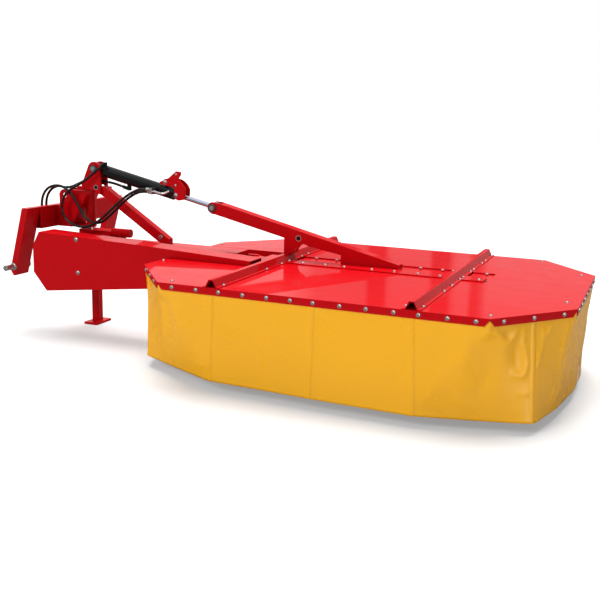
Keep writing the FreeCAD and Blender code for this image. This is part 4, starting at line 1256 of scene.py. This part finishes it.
def studio_world():
    """Surroundings that are white to the camera, a skyline in reflections and dim as light."""
    world = bpy.data.worlds.new("studio")
    bpy.context.scene.world = world
    world.use_nodes = True
    tree = world.node_tree
    nodes = tree.nodes
    link = tree.links.new
    shade = nodes["Background"]
    shade.inputs["Color"].default_value = (1.0, 1.0, 1.0, 1.0)
    path = nodes.new("ShaderNodeLightPath")
    seen = worked(tree, "MAXIMUM", path.outputs["Is Camera Ray"], path.outputs["Is Transmission Ray"])
    level = nodes.new("ShaderNodeMapRange")
    level.inputs["To Min"].default_value = WORLD_LEVEL
    link(worked(tree, "MAXIMUM", seen, path.outputs["Is Glossy Ray"]), level.inputs["Value"])
    shown_level = nodes.new("ShaderNodeMix")
    shown_level.inputs["B"].default_value = 1.0
    link(seen, shown_level.inputs["Factor"])
    link(skyline(tree), shown_level.inputs["A"])
    link(shown_level.outputs["Result"], level.inputs["To Max"])
    link(level.outputs["Result"], shade.inputs["Strength"])


# Each lamp's name, compass angle, height, strength and softness, and where it shows
LAMPS = (
    ("sky", 110.0, 66.0, 5.8, 50.0, False),
    ("front", -118.0, 33.0, 1.45, 22.0, False),
    ("window", -38.0, 10.0, 0.5, 18.0, True),
    ("glint", -75.0, 50.0, 0.5, 7.0, True),
)


class MOWER_OT_studio(bpy.types.Operator):
    """Set up the floor, lamps, world and camera"""

    bl_idname = "mower.studio"
    bl_label = "Studio"

    def execute(self, context):
        scene = context.scene
        scene.view_settings.view_transform = "Standard"
        mesh = bpy.data.meshes.new("floor")
        turns = ((-1, -1), (1, -1), (1, 1), (-1, 1))
        mesh.from_pydata([(x * FLOOR_REACH, y * FLOOR_REACH, 0) for x, y in turns], [], [(0, 1, 2, 3)])
        floor = linked("floor", mesh)
        mesh.materials.append(backdrop_material())
        lights = [lamp(*values) for values in LAMPS]
        studio_world()
        camera = camera_view()
        return {"FINISHED"}


# -------- add-on parts


class MowerSizes(bpy.types.PropertyGroup):
    bolt_radius: bpy.props.FloatProperty(
        name="Bolt Radius", description="Radius of the rim's bolt heads", default=0.0082, unit="LENGTH"
    )
    cloth_thickness: bpy.props.FloatProperty(
        name="Cloth Thickness", description="Thickness of the skirt's cloth", default=0.0015, unit="LENGTH"
    )


class MowerLooks(bpy.types.PropertyGroup):
    red: bpy.props.FloatVectorProperty(
        name="Red", description="Gloss paint of the machine", default=(0.47, 0.002, 0.005), subtype="COLOR"
    )
    yellow: bpy.props.FloatVectorProperty(
        name="Yellow", description="Coated cloth of the skirts", default=(0.90, 0.43, 0.004), subtype="COLOR"
    )
    black: bpy.props.FloatVectorProperty(
        name="Black", description="Paint of the cylinder", default=(0.004, 0.004, 0.0045), subtype="COLOR"
    )
    zinc: bpy.props.FloatVectorProperty(
        name="Zinc", description="Plating of the fasteners", default=(0.60, 0.59, 0.58), subtype="COLOR"
    )
    rubber: bpy.props.FloatVectorProperty(
        name="Rubber", description="Cover of the hoses", default=(0.004, 0.004, 0.004), subtype="COLOR"
    )


OPERATORS = (
    MOWER_OT_deck,
    MOWER_OT_skirts,
    MOWER_OT_boom,
    MOWER_OT_head,
    MOWER_OT_stand,
    MOWER_OT_cylinder,
    MOWER_OT_hoses,
    MOWER_OT_drums,
    MOWER_OT_studio,
)


class MOWER_PT_panel(bpy.types.Panel):
    """Builds the mower's pieces one group at a time"""

    bl_label = "Drum Mower"
    bl_idname = "MOWER_PT_panel"
    bl_space_type = "VIEW_3D"
    bl_region_type = "UI"
    bl_category = "Drum Mower"

    def draw(self, context):
        column = self.layout.column()
        for group in (context.scene.mower_sizes, context.scene.mower_looks):
            for name in group.__annotations__:
                column.prop(group, name)
        for operator in OPERATORS:
            column.operator(operator.bl_idname)


CLASSES = (MowerSizes, MowerLooks) + OPERATORS + (MOWER_PT_panel,)


def register():
    for item in CLASSES:
        bpy.utils.register_class(item)
    bpy.types.Scene.mower_sizes = bpy.props.PointerProperty(type=MowerSizes)
    bpy.types.Scene.mower_looks = bpy.props.PointerProperty(type=MowerLooks)


def unregister():
    del bpy.types.Scene.mower_looks
    del bpy.types.Scene.mower_sizes
    for item in reversed(CLASSES):
        bpy.utils.unregister_class(item)


def main():
    """Builds every group in order."""
    register()
    for operator in OPERATORS:
        group, name = operator.bl_idname.split(".")
        getattr(getattr(bpy.ops, group), name)()


if __name__ == "__main__":
    main()
